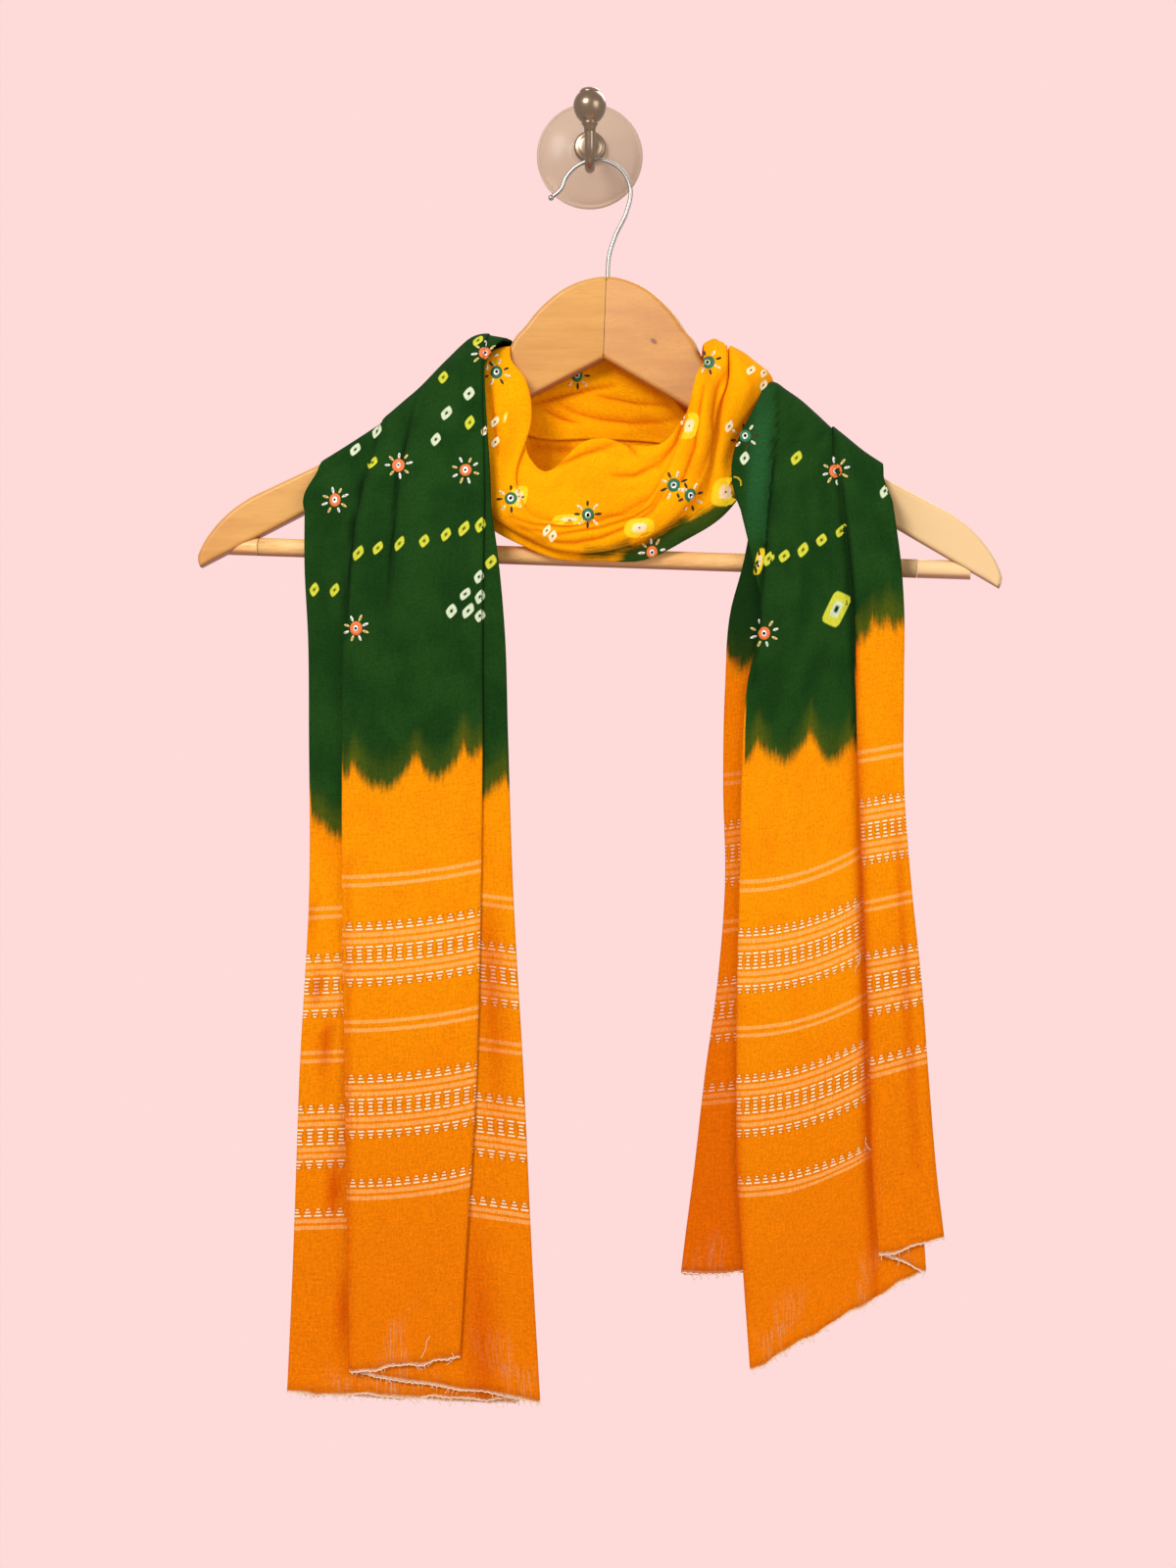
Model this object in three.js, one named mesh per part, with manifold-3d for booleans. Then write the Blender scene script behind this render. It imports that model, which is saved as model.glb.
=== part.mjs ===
// A wool shawl wound once round a wooden coat hanger, hung from a suction-pad wall hook.
// Millimetres, +Z up, +X to the right, the wall in the plane y = 0 and everything else in front
// of it (y < 0). The origin is the centre of the pad's back face, where the wall holds the part.
import * as THREE from 'three';
import { mergeVertices } from 'three/addons/utils/BufferGeometryUtils.js';
import Module from 'manifold-3d';

const wasm = await Module();
wasm.setup();

// ---------- driving dimensions ----------

const GAP = 0.3; // between pieces that touch
const CLOTH = 1.0; // wall of the cloth, as a solid
const CREST_PITCH = 1.45; // from layer to layer where the folds are pulled over an arm
const HANG_PITCH = 2.3; // from layer to layer where a tail hangs
const COWL_PITCH = 2.4; // from layer to layer at the cowl's lowest point
const BACK_PITCH = 1.7; // from layer to layer behind the hanger's neck
const CREST_LIFT = 1.5; // from an arm to the middle of the cowl's innermost layer
const STEADY = -300; // height above which all the folds of a tail hang level
const TURNS = [0, 0.2, 0.4, 0.6, 0.8, 1]; // stations over an arm, from front to back

const HANGER = { x: 8.2, y: -45, z: -122 }; // lowest point of the joint between the two arms
const ROLL = THREE.MathUtils.degToRad(2.1); // the right arm hangs lower
const YAW = THREE.MathUtils.degToRad(8); // the right arm swings away from the wall
const BOW = THREE.MathUtils.degToRad(5); // each arm bends forward from the joint
const ARM = { thickness: 12, round: 2.5, dome: 44.8 };
const SHOULDER = { along: 54.5, z: 0.4, fall: 0.63 }; // straight top edge of an arm
const BAR = { radius: 5, z: -111, y: -17.4, left: -186.5, right: 175.3, tenon: 204 };
const BAR_TILT = THREE.MathUtils.degToRad(0.45); // let into the right arm a little lower
const WIRE = { radius: 1.2, socket: 14, arcX: -8.3, arcZ: 45.7, arcRadius: 19.5, tip: 1.6 };

const PAD = { radius: 30, thickness: 9 };
const BOSS = { radius: 8.8, thickness: 5, z: 2.9 };
const KNOB = { radius: 9, y: -57.5, z: 14.6, nub: 5.2, top: 24.4 };
const ROD = { radius: 2.8, troughY: -45, troughZ: -16.6 };

const COLOURS = {
  green: 0x174a1f,
  orange: 0xf59a12,
  wood: 0xe3b272,
  bar: 0xc79a63,
  metal: 0xb9b2a6,
  pad: 0xd9bfa8,
};

// ---------- small helpers ----------

const mix = (a, b, t) => a + (b - a) * t;

function material(colour, roughness, metalness = 0) {
  return new THREE.MeshStandardMaterial({ color: colour, roughness, metalness });
}

/** Rows of numbers under named columns, as a list of objects. */
function table(columns, rows) {
  const names = columns.split(' ');
  return rows.map((row) => Object.fromEntries(names.map((name, i) => [name, row[i]])));
}

/** The value of one column of a table, read at a place on its ruling column. */
function column(rows, ruler, name, at) {
  const rising = rows[rows.length - 1][ruler] > rows[0][ruler];
  const next = rows.findIndex((row) => (rising ? row[ruler] >= at : row[ruler] <= at));
  if (next === 0) return rows[0][name];
  if (next < 0) return rows[rows.length - 1][name];
  const [a, b] = [rows[next - 1], rows[next]];
  return mix(a[name], b[name], (at - a[ruler]) / (b[ruler] - a[ruler]));
}

/** A geometry as a manifold solid. */
function solid(geometry) {
  const bare = new THREE.BufferGeometry();
  bare.setAttribute('position', geometry.attributes.position);
  if (geometry.index) bare.setIndex(geometry.index);
  const merged = mergeVertices(bare, 1e-4);
  const vertProperties = new Float32Array(merged.attributes.position.array);
  const triVerts = new Uint32Array(merged.index.array);
  return new wasm.Manifold(new wasm.Mesh({ numProp: 3, vertProperties, triVerts }));
}

/** A manifold solid as a geometry. */
function geometryOf(body) {
  const mesh = body.getMesh();
  const geometry = new THREE.BufferGeometry();
  geometry.setAttribute('position', new THREE.BufferAttribute(new Float32Array(mesh.vertProperties), 3));
  geometry.setIndex(new THREE.BufferAttribute(new Uint32Array(mesh.triVerts), 1));
  return geometry;
}

/** A lathe turned about Y, from rows of [radius, height] that start and end on the axis. */
function turned(rows, sides) {
  const profile = rows.map(([radius, height]) => new THREE.Vector2(radius, height));
  return new THREE.LatheGeometry(profile, sides);
}

function tube(path, radius, steps, sides) {
  const ring = new THREE.Shape();
  ring.absarc(0, 0, radius, 0, 2 * Math.PI);
  return new THREE.ExtrudeGeometry(ring, { extrudePath: path, steps, curveSegments: sides / 2 });
}

function node(name, geometry, look) {
  const mesh = new THREE.Mesh(geometry, look);
  mesh.name = name;
  return mesh;
}

// ---------- the hanger's shape, which the cloth rests on ----------

/** Centre of an arm's top edge at a place across: y of its mid-plane and z of its top. */
function shoulder(x) {
  const away = x - HANGER.x;
  const forward = away < 0 ? BOW - YAW : BOW + YAW;
  const along = Math.abs(away) / Math.cos(forward);
  const top = SHOULDER.z - SHOULDER.fall * (along - SHOULDER.along);
  return {
    y: HANGER.y - Math.tan(forward) * Math.abs(away),
    z: HANGER.z + top - away * Math.sin(ROLL),
  };
}

/** A point on the cloth where it passes over an arm's rounded edges: turn 0 is in front, 1 behind. */
function overArm(x, turn, lift) {
  const { y, z } = shoulder(x);
  const reach = ARM.round + lift;
  const angle = Math.PI * turn;
  const flat = ARM.thickness / 2 - ARM.round;
  const across = Math.sign(Math.cos(angle)) * flat + Math.cos(angle) * reach;
  return new THREE.Vector3(x, y - across, z - ARM.round + Math.sin(angle) * reach);
}

// ---------- pleated cloth ----------

/** The folded centre line across a stretch: its layers lie at whole depths, and the cloth turns
 *  round from one to the next at each place. Gives [place, depth] pairs. */
function foldedLine(places, depths, turnRadius) {
  const line = [[places[0], depths[0]]];
  for (let i = 1; i < places.length - 1; i += 1) {
    const away = Math.sign(places[i] - places[i - 1]);
    const wide = Math.abs(depths[i] - depths[i - 1]);
    const back = away * turnRadius * wide;
    const middle = (depths[i] + depths[i - 1]) / 2;
    line.push([places[i] - back, depths[i - 1]]);
    line.push([places[i], middle]);
    line.push([places[i] - back, depths[i]]);
  }
  line.push([places[places.length - 1], depths[depths.length - 1]]);
  return line;
}

/** A closed wall of cloth on a grid of centre points: grid[station][point across]. */
function wall(grid) {
  const stations = grid.length;
  const across = grid[0].length;
  const positions = [];
  const at = (i, j) => grid[Math.min(Math.max(i, 0), stations - 1)][Math.min(Math.max(j, 0), across - 1)];
  const step = (a, b) => new THREE.Vector3().subVectors(b, a).normalize();
  for (const side of [0.5, -0.5]) {
    for (let i = 0; i < stations; i += 1) {
      for (let j = 0; j < across; j += 1) {
        const along = step(at(i - 1, j), at(i + 1, j));
        const before = j > 0 ? step(at(i, j - 1), at(i, j)) : step(at(i, j), at(i, j + 1));
        const after = j < across - 1 ? step(at(i, j), at(i, j + 1)) : before;
        const normal = new THREE.Vector3().addVectors(before, after).cross(along).normalize();
        const point = at(i, j).clone().addScaledVector(normal, side * CLOTH);
        positions.push(point.x, point.y, point.z);
      }
    }
  }
  const front = (i, j) => i * across + j;
  const rear = (i, j) => stations * across + i * across + j;
  const index = [];
  const quad = (a, b, c, d) => index.push(a, b, c, a, c, d);
  for (let i = 0; i < stations - 1; i += 1) {
    for (let j = 0; j < across - 1; j += 1) {
      quad(front(i, j), front(i, j + 1), front(i + 1, j + 1), front(i + 1, j));
      quad(rear(i, j), rear(i + 1, j), rear(i + 1, j + 1), rear(i, j + 1));
    }
    const last = across - 1;
    quad(front(i, 0), front(i + 1, 0), rear(i + 1, 0), rear(i, 0));
    quad(front(i, last), rear(i, last), rear(i + 1, last), front(i + 1, last));
  }
  const end = stations - 1;
  for (let j = 0; j < across - 1; j += 1) {
    quad(front(0, j), rear(0, j), rear(0, j + 1), front(0, j + 1));
    quad(front(end, j), front(end, j + 1), rear(end, j + 1), rear(end, j));
  }
  const geometry = new THREE.BufferGeometry();
  geometry.setAttribute('position', new THREE.BufferAttribute(new Float32Array(positions), 3));
  geometry.setIndex(index);
  return outward(geometry);
}

/** The geometry with its faces pointing out. */
function outward(geometry) {
  const position = geometry.attributes.position;
  const index = geometry.index.array;
  const [a, b, c] = [new THREE.Vector3(), new THREE.Vector3(), new THREE.Vector3()];
  let volume = 0;
  for (let i = 0; i < index.length; i += 3) {
    a.fromBufferAttribute(position, index[i]);
    b.fromBufferAttribute(position, index[i + 1]);
    c.fromBufferAttribute(position, index[i + 2]);
    volume += a.dot(b.cross(c));
  }
  if (volume < 0) {
    for (let i = 0; i < index.length; i += 3) {
      [index[i + 1], index[i + 2]] = [index[i + 2], index[i + 1]];
    }
  }
  return geometry;
}

// ---------- the two tails ----------

// Each row is a height; each named column is where that fold lies across, then y of the back
// layer at the two sides of the tail. "hem" is the height at which each fold ends, "crest" is
// where the fold crosses the arm, "lift" is how far up off the arm the back layer lies, and
// "swell" is how far out one fold stands between its crest and the first row.
const LEFT_TAIL = {
  folds: ['selvedge', 'panelLeft', 'right', 'left', 'innerRight', 'end'],
  sides: [-150, -50],
  rows: table('z selvedge panelLeft right left innerRight end y0 y1', [
    [-694, -72, -131, -27, -166, -40, -145, -50, -62],
    [-624, -68, -132, -31, -163, -42, -145, -50, -62],
    [-517, -61.5, -133.5, -36, -159, -45, -145, -50, -62],
    [-410, -59, -135, -42, -153.5, -50, -145, -49, -64],
    [-329, -58, -135, -44.5, -154, -52, -145, -49, -69],
    [-275, -58, -134, -46, -154.5, -54, -145, -49, -73],
    [-235, -57.5, -131, -49.5, -156.5, -57, -145, -48.5, -74.5],
    [-206, -57, -126.5, -53.5, -156.5, -61, -145, -47.5, -74],
  ]),
  hem: { selvedge: -668, panelLeft: -677, right: -691, left: -690, innerRight: -693, end: -690 },
  crest: { selvedge: -57, panelLeft: -117, right: -47, left: -150, innerRight: -52, end: -134 },
  lift: { x0: -150, up0: 1.5, x1: -44, up1: 13.2 },
  swell: { fold: 'left', out: -3 },
  heights: [-694, -660, -624, -570, -517, -463, -410, -370, -329, -302, -275, -255, -235, -220, -206],
};

const RIGHT_TAIL = {
  folds: ['edge', 'front', 'right', 'left', 'innerRight', 'innerLeft', 'end'],
  sides: [80, 170],
  rows: table('z edge front right left innerRight innerLeft end y0 y1', [
    [-670, 189, 156, 180, 86, 176, 44, 150, -82, -93],
    [-597, 187.5, 153, 177, 81, 172, 52, 150, -82, -93],
    [-566, 184, 150.5, 174, 79, 169, 56, 150, -82, -93],
    [-513, 179.5, 149, 170, 78.5, 165, 62, 150, -82, -93],
    [-461, 175.5, 147, 167, 79, 161, 69, 150, -82, -93],
    [-408, 170, 145, 163, 80.5, 157, 73, 150, -82, -93],
    [-356, 166.5, 143, 160, 81.5, 153, 72, 150, -82, -93],
    [-303, 166.5, 141.5, 159, 84.5, 153, 73, 150, -82, -93],
    [-262, 166.5, 139, 159, 92, 153, 76, 150, -83, -93],
    [-240, 165, 137.5, 158, 88, 153, 82, 150, -83, -93],
    [-209, 161, 134, 154, 81, 150, 88, 146, -81, -92],
  ]),
  hem: { edge: -597, front: -606, right: -614, left: -670, innerRight: -612, innerLeft: -620, end: -618 },
  crest: { edge: 160, front: 131, right: 155, left: 98, innerRight: 151, innerLeft: 101, end: 145 },
  lift: { x0: 98, up0: 3.5, x1: 160, up1: 1 },
  swell: { fold: 'left', out: -6 },
  heights: [-670, -634, -597, -566, -540, -513, -461, -408, -356, -330, -303, -282, -262, -240, -209],
};

/** Height of one fold at one of the tail's even heights: each fold stretches to its own hem. */
function foldHeight(spec, fold, height) {
  const lowest = spec.rows[0].z;
  if (height >= STEADY) return height;
  return STEADY + ((height - STEADY) * (spec.hem[fold] - STEADY)) / (lowest - STEADY);
}

/** A point of a hanging tail: x and depth on its folded line, beside one of its folds. */
function tailPoint(spec, [x, depth], fold, height) {
  const t = (x - spec.sides[0]) / (spec.sides[1] - spec.sides[0]);
  const base = mix(column(spec.rows, 'z', 'y0', height), column(spec.rows, 'z', 'y1', height), t);
  return new THREE.Vector3(x, base - depth * HANG_PITCH, foldHeight(spec, fold, height));
}

/** Depth of each layer of an accordion, from the front one to the back one. */
function accordion(folds) {
  return folds.slice(1).map((_, i) => folds.length - 2 - i);
}

/** A tail's folded line where it crosses its arm. */
function tailCrossing(spec, turn) {
  const { x0, up0, x1, up1 } = spec.lift;
  const places = spec.folds.map((fold) => spec.crest[fold]);
  return foldedLine(places, accordion(spec.folds), CREST_PITCH / 2).map(([x, depth]) => {
    const lift = mix(up0, up1, (x - x0) / (x1 - x0));
    return overArm(x, turn, lift + depth * CREST_PITCH);
  });
}

function tail(spec) {
  const layers = spec.folds.length - 1;
  const depths = accordion(spec.folds);
  // The fold that each point of the folded line belongs to.
  const owner = foldedLine(spec.folds.map((_, i) => i % 2), depths, 0).map((_, i) => {
    const fold = Math.floor((i + 2) / 3);
    return spec.folds[Math.min(fold, layers)];
  });
  const grid = [];
  for (const height of spec.heights) {
    const places = spec.folds.map((fold) => {
      return column(spec.rows, 'z', fold, foldHeight(spec, fold, height));
    });
    const line = foldedLine(places, depths, HANG_PITCH / 2);
    grid.push(line.map((pair, i) => tailPoint(spec, pair, owner[i], height)));
  }
  const last = grid[grid.length - 1];
  const front = tailCrossing(spec, 0);
  for (const part of [0.36, 0.7]) {
    const swell = spec.swell.out * Math.sin(Math.PI * part);
    grid.push(front.map((point, i) => {
      const between = last[i].clone().lerp(point, part);
      if (owner[i] === spec.swell.fold) between.x += swell;
      return between;
    }));
  }
  TURNS.forEach((turn) => grid.push(tailCrossing(spec, turn)));
  return wall(grid);
}

// ---------- the cowl ----------

// Layers from the lip of the pouch to the hidden end. Columns of the table are where the inner
// and outer guide lines run, y of the back layer, and how far from the inner guide (0) to the
// outer one (1) each fold lies.
const COWL_FOLDS = ['lip', 'turn', 'edge', 'lower', 'tuck', 'outer', 'end'];
const COWL_DEPTHS = [3, 4, 5, 2, 1, 0];
const [COWL_CREST_LEFT, COWL_CREST_RIGHT] = table(
  'innerX outerX pitch lip turn edge lower tuck end',
  [
    [-47.5, -77, 1.4, 0.14, 0.66, 0, 0.76, 0.12, 0.2],
    [62, 95, 2.4, 0.1, 0.6, 0, 0.88, 0.14, 0.2],
  ],
);
const COWL = table('innerX innerZ outerX outerZ y lip turn edge lower tuck end', [
  [-38, -138, -77, -166, -51, 0.2, 0.66, 0, 0.78, 0.16, 0.2],
  [-33, -158, -71, -192, -54, 0.25, 0.7, 0.1, 0.82, 0.2, 0.2],
  [-25, -169, -57, -214, -58.5, 0.28, 0.78, 0.5, 0.89, 0.2, 0.2],
  [-15, -168, -37, -226, -64.5, 0.3, 0.85, 0.74, 0.93, 0.22, 0.2],
  [-3, -165, -16, -234, -68.5, 0.07, 0.86, 0.72, 0.94, 0.24, 0.2],
  [8, -164, 5, -235, -70.5, 0.04, 0.86, 0.69, 0.94, 0.24, 0.2],
  [22, -163, 28, -235, -73.5, 0.08, 0.78, 0.64, 0.86, 0.24, 0.2],
  [36, -158, 52, -224, -76, 0.1, 0.68, 0.42, 0.79, 0.22, 0.2],
  [47, -150, 72, -211, -76, 0.12, 0.52, 0.17, 0.63, 0.2, 0.2],
  [57, -135, 86, -190, -75, 0.14, 0.3, 0.03, 0.42, 0.16, 0.2],
]);

/** The folded line between an inner and an outer guide point, stacked along "out". */
function guided(inner, outer, stack, row, folds, depths, pitch) {
  const width = inner.distanceTo(outer);
  const places = folds.map((fold) => (fold === 'outer' ? width : row[fold] * width));
  return foldedLine(places, depths, pitch / 2).map(([place, depth]) => {
    return inner.clone().lerp(outer, place / width).addScaledVector(stack, depth * pitch);
  });
}

/** The folded line across an arm, at a part of the way over it. */
function crossing(crest, folds, depths, turn) {
  const angle = Math.PI * turn;
  const inner = overArm(crest.innerX, turn, CREST_LIFT);
  const outer = overArm(crest.outerX, turn, CREST_LIFT);
  const stack = new THREE.Vector3(0, -Math.cos(angle), Math.sin(angle));
  return guided(inner, outer, stack, crest, folds, depths, crest.pitch);
}

function cowl() {
  const forward = new THREE.Vector3(0, -1, 0);
  const left = TURNS.map((turn) => crossing(COWL_CREST_LEFT, COWL_FOLDS, COWL_DEPTHS, turn));
  const right = TURNS.map((turn) => crossing(COWL_CREST_RIGHT, COWL_FOLDS, COWL_DEPTHS, turn));
  const middle = COWL.map((row, i) => {
    const inner = new THREE.Vector3(row.innerX, row.y, row.innerZ);
    const outer = new THREE.Vector3(row.outerX, row.y, row.outerZ);
    const fromEnd = Math.min(i, COWL.length - 1 - i) / 3;
    const pitch = mix(1.9, COWL_PITCH, Math.min(fromEnd, 1));
    return guided(inner, outer, forward, row, COWL_FOLDS, COWL_DEPTHS, pitch);
  });
  return wall([...left.reverse(), ...middle, ...right]);
}

// ---------- the two stretches behind the hanger's neck ----------

// Each runs from one arm's crest to the other; its guide lines are its upper and lower edges.
const BACK_LEFT = {
  tail: LEFT_TAIL,
  cowl: {
    innerX: 62, outerX: 95, pitch: 1.6,
    selvedge: 0.02, panelLeft: 0.4, right: 0, left: 1, innerRight: 0.1, end: 0.8,
  },
  rows: table('innerX innerZ outerX outerZ y', [
    [-32, -122, -118, -193, -21],
    [-12, -110, -72, -196, -20],
    [8, -105, -22, -189, -20],
    [28, -104, 22, -180, -21],
    [44, -112, 54, -158, -27],
    [57, -133, 80, -158, -41],
  ]),
  across: { selvedge: 0.13, panelLeft: 0.55, right: 0.02, left: 1, innerRight: 0.08, end: 0.8 },
};
const BACK_RIGHT = {
  tail: RIGHT_TAIL,
  cowl: {
    innerX: -47.5, outerX: -77, pitch: 1.4,
    edge: 0.84, front: 0.46, right: 0.88, left: 0.02, innerRight: 0.86, innerLeft: 0.08, end: 0.8,
  },
  rows: table('innerX innerZ outerX outerZ y', [
    [86, -166, 128, -200, -42],
    [62, -160, 86, -194, -38],
    [38, -132, 47, -168, -37],
    [8, -116, 6, -166, -37],
    [-22, -118, -34, -162, -35],
  ]),
  across: { edge: 0.97, front: 0.55, right: 0.9, left: 0.02, innerRight: 0.86, innerLeft: 0.06, end: 0.8 },
};

function back(spec) {
  const folds = spec.tail.folds;
  const depths = accordion(folds);
  const below = new THREE.Vector3(0, 0, -CLOTH / 2 - GAP);
  const toWall = new THREE.Vector3(0, 1, 0);
  const start = tailCrossing(spec.tail, 1).map((point) => point.add(below));
  const middle = spec.rows.map((row) => {
    const inner = new THREE.Vector3(row.innerX, row.y, row.innerZ);
    const outer = new THREE.Vector3(row.outerX, row.y, row.outerZ);
    return guided(inner, outer, toWall, spec.across, folds, depths, BACK_PITCH);
  });
  const end = crossing(spec.cowl, folds, depths, 1).map((point) => point.add(below));
  return wall([start, ...middle, end]);
}

// ---------- hanger ----------

function armGeometry(side) {
  // Top edge of an arm from the joint outwards: [along, up].
  const top = [
    [-4, ARM.dome], [3, ARM.dome], [13, 42.6], [22, 38.6], [32, 31], [39, 23.6], [45, 15.4],
    [48.6, 11.5], [SHOULDER.along, SHOULDER.z], [101, -29], [155.5, -63.2], [181.4, -76.5],
    [194.4, -83.4], [205, -91.5], [213, -100.4], [219, -110], [221.4, -117.7], [219.8, -122],
  ];
  const outline = new THREE.Shape(top.map(([along, up]) => new THREE.Vector2(side * along, up)));
  outline.lineTo(0, 0);
  outline.lineTo(side * -4, 0);
  const geometry = new THREE.ExtrudeGeometry(outline, {
    depth: ARM.thickness - 2 * ARM.round,
    bevelThickness: ARM.round,
    bevelSize: ARM.round,
    bevelOffset: -ARM.round,
    bevelSegments: 2,
  });
  geometry.translate(0, 0, ARM.round - ARM.thickness / 2);
  geometry.rotateX(Math.PI / 2);
  geometry.rotateZ(-side * BOW);
  return geometry;
}

function rodAlongX(radius, from, to, sides) {
  const geometry = new THREE.CylinderGeometry(radius, radius, Math.abs(to - from), sides);
  geometry.rotateZ(Math.PI / 2);
  geometry.translate((from + to) / 2, 0, 0);
  geometry.rotateY(BAR_TILT);
  geometry.translate(0, BAR.y, BAR.z);
  return geometry;
}

/** An arm with its mitred end, its half of the hook's socket and the seat of its tenon. */
function arm(side) {
  const beyond = new THREE.BoxGeometry(40, 60, 120);
  beyond.translate(-side * (20 - GAP / 2), 0, 20);
  const hookSocket = new THREE.CylinderGeometry(WIRE.radius + GAP, WIRE.radius + GAP, 2 * WIRE.socket, 12);
  hookSocket.rotateX(Math.PI / 2);
  hookSocket.translate(0, 0, ARM.dome);
  const seat = rodAlongX(BAR.radius + GAP, side * 150, side * (BAR.tenon + GAP), 20);
  const cuts = [beyond, hookSocket, seat].map(solid);
  return geometryOf(cuts.reduce((body, cut) => body.subtract(cut), solid(armGeometry(side))));
}

function wireHook() {
  const { arcX, arcZ, arcRadius } = WIRE;
  const top = ARM.dome;
  const point = (x, z) => new THREE.Vector3(x, 0, top + z);
  const onArc = (degrees) => {
    const angle = THREE.MathUtils.degToRad(degrees);
    return point(arcX + arcRadius * Math.cos(angle), arcZ + arcRadius * Math.sin(angle));
  };
  const arc = [11, 30, 50, 70, 90, 110, 130, 152].map(onArc);
  const stem = [[0, -WIRE.socket + GAP], [0, 0], [0.2, 11.3], [3.4, 23.2], [9, 36]];
  const route = stem.map(([x, z]) => point(x, z));
  const end = [point(-28, 48.6), point(-32.6, 44.6)];
  const path = new THREE.CatmullRomCurve3([...route, ...arc, ...end]);
  const ball = new THREE.SphereGeometry(WIRE.tip, 10, 8);
  ball.translate(-33.2, 0, top + 44.1);
  return geometryOf(solid(tube(path, WIRE.radius, 44, 8)).add(solid(ball)));
}

function hangerGroup() {
  const wood = material(COLOURS.wood, 0.5);
  const ribbed = material(COLOURS.bar, 0.6);
  const group = new THREE.Group();
  group.add(node('hanger_arm_left', arm(-1), wood));
  group.add(node('hanger_arm_right', arm(1), material(COLOURS.wood, 0.5)));
  group.add(node('hanger_bar', rodAlongX(BAR.radius, BAR.left, BAR.right, 20), ribbed));
  group.add(node('hanger_tenon_left', rodAlongX(BAR.radius, -BAR.tenon, BAR.left - GAP, 20), wood.clone()));
  const rightTenon = rodAlongX(BAR.radius, BAR.right + GAP, BAR.tenon, 20);
  group.add(node('hanger_tenon_right', rightTenon, wood.clone()));
  group.add(node('hanger_hook', wireHook(), material(COLOURS.metal, 0.3, 1)));
  group.position.set(HANGER.x, HANGER.y, HANGER.z);
  group.rotation.set(0, ROLL, -YAW, 'YZX');
  return group;
}

// ---------- wall hook ----------

/** Turns a lathe made about Y so that its height runs out from the wall. */
function facingOut(geometry, y, z) {
  geometry.rotateX(Math.PI);
  geometry.translate(0, y, z);
  return geometry;
}

function pad() {
  const { radius, thickness } = PAD;
  const profile = [
    [0, 0], [radius, 0], [radius, 2.2], [radius - 1, 3], [radius - 6, 4.4],
    [18, 6.4], [BOSS.radius + 2, thickness], [0, thickness],
  ];
  return facingOut(turned(profile, 40), 0, 0);
}

function boss() {
  const { radius, thickness, z } = BOSS;
  const edge = 1.5;
  const rim = [[radius, 0], [radius, thickness - edge], [radius - edge, thickness]];
  const profile = [[0, 0], ...rim, [0, thickness]];
  return facingOut(turned(profile, 28), -PAD.thickness - GAP, z);
}

function knobHook() {
  const start = -PAD.thickness - BOSS.thickness - 2 * GAP;
  const rod = new THREE.CatmullRomCurve3([
    new THREE.Vector3(0, start, BOSS.z),
    new THREE.Vector3(0, start - 9, BOSS.z - 0.6),
    new THREE.Vector3(0, start - 17, BOSS.z - 7),
    new THREE.Vector3(0, ROD.troughY + 5.5, ROD.troughZ + 1.6),
    new THREE.Vector3(0, ROD.troughY - 2, ROD.troughZ + 0.2),
    new THREE.Vector3(0, ROD.troughY - 8.5, ROD.troughZ + 5),
    new THREE.Vector3(0, KNOB.y + 1.2, -2),
    new THREE.Vector3(0, KNOB.y, KNOB.z - 4),
  ]);
  const low = KNOB.z - KNOB.radius;
  const ball = turned([
    [0, low - 5], [3.1, low - 5], [4.2, low - 0.5], [6.8, KNOB.z - 6], [KNOB.radius - 0.4, KNOB.z - 2.5],
    [KNOB.radius, KNOB.z + 0.5], [KNOB.radius - 0.9, KNOB.z + 4], [6.2, KNOB.z + 7],
    [KNOB.nub - 0.6, KNOB.top - 1.6], [3, KNOB.top - 0.2], [0, KNOB.top],
  ], 24);
  ball.rotateX(Math.PI / 2);
  ball.translate(0, KNOB.y, 0);
  return geometryOf(solid(tube(rod, ROD.radius, 26, 10)).add(solid(ball)));
}

// ---------- the whole part ----------

const part = new THREE.Group();
part.add(node('shawl_tail_left', tail(LEFT_TAIL), material(COLOURS.green, 0.95)));
part.add(node('shawl_tail_right', tail(RIGHT_TAIL), material(COLOURS.green, 0.95)));
part.add(node('shawl_cowl_front', cowl(), material(COLOURS.orange, 0.95)));
part.add(node('shawl_back_left', back(BACK_LEFT), material(COLOURS.orange, 0.95)));
part.add(node('shawl_back_right', back(BACK_RIGHT), material(COLOURS.orange, 0.95)));
part.add(hangerGroup());
part.add(node('wall_pad', pad(), material(COLOURS.pad, 0.2)));
part.add(node('wall_boss', boss(), material(COLOURS.metal, 0.35, 1)));
part.add(node('wall_hook', knobHook(), material(COLOURS.metal, 0.35, 1)));

export default part;
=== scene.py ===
"""The looks of a tie-dyed wool shawl wound round a coat hanger, on a wall hook.

Shapes are worked out in millimetres, as the CAD part's are, and stored in metres. +Z is up, +X is
to the right, and the wall is the plane y = 0, with everything in front of it.
"""

import math

import bmesh
import bpy
import numpy as np
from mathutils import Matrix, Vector
from mathutils.bvhtree import BVHTree
from mathutils.interpolate import poly_3d_calc


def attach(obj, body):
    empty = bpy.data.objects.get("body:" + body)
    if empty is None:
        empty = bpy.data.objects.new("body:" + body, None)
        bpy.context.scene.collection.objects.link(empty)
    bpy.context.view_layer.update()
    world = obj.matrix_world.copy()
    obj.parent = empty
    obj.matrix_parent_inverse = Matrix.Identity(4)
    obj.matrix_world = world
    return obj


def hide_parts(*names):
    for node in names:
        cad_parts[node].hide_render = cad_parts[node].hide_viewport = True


MM = 0.001
SEED = 7

# ---------- the cloth's sizes ----------

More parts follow.
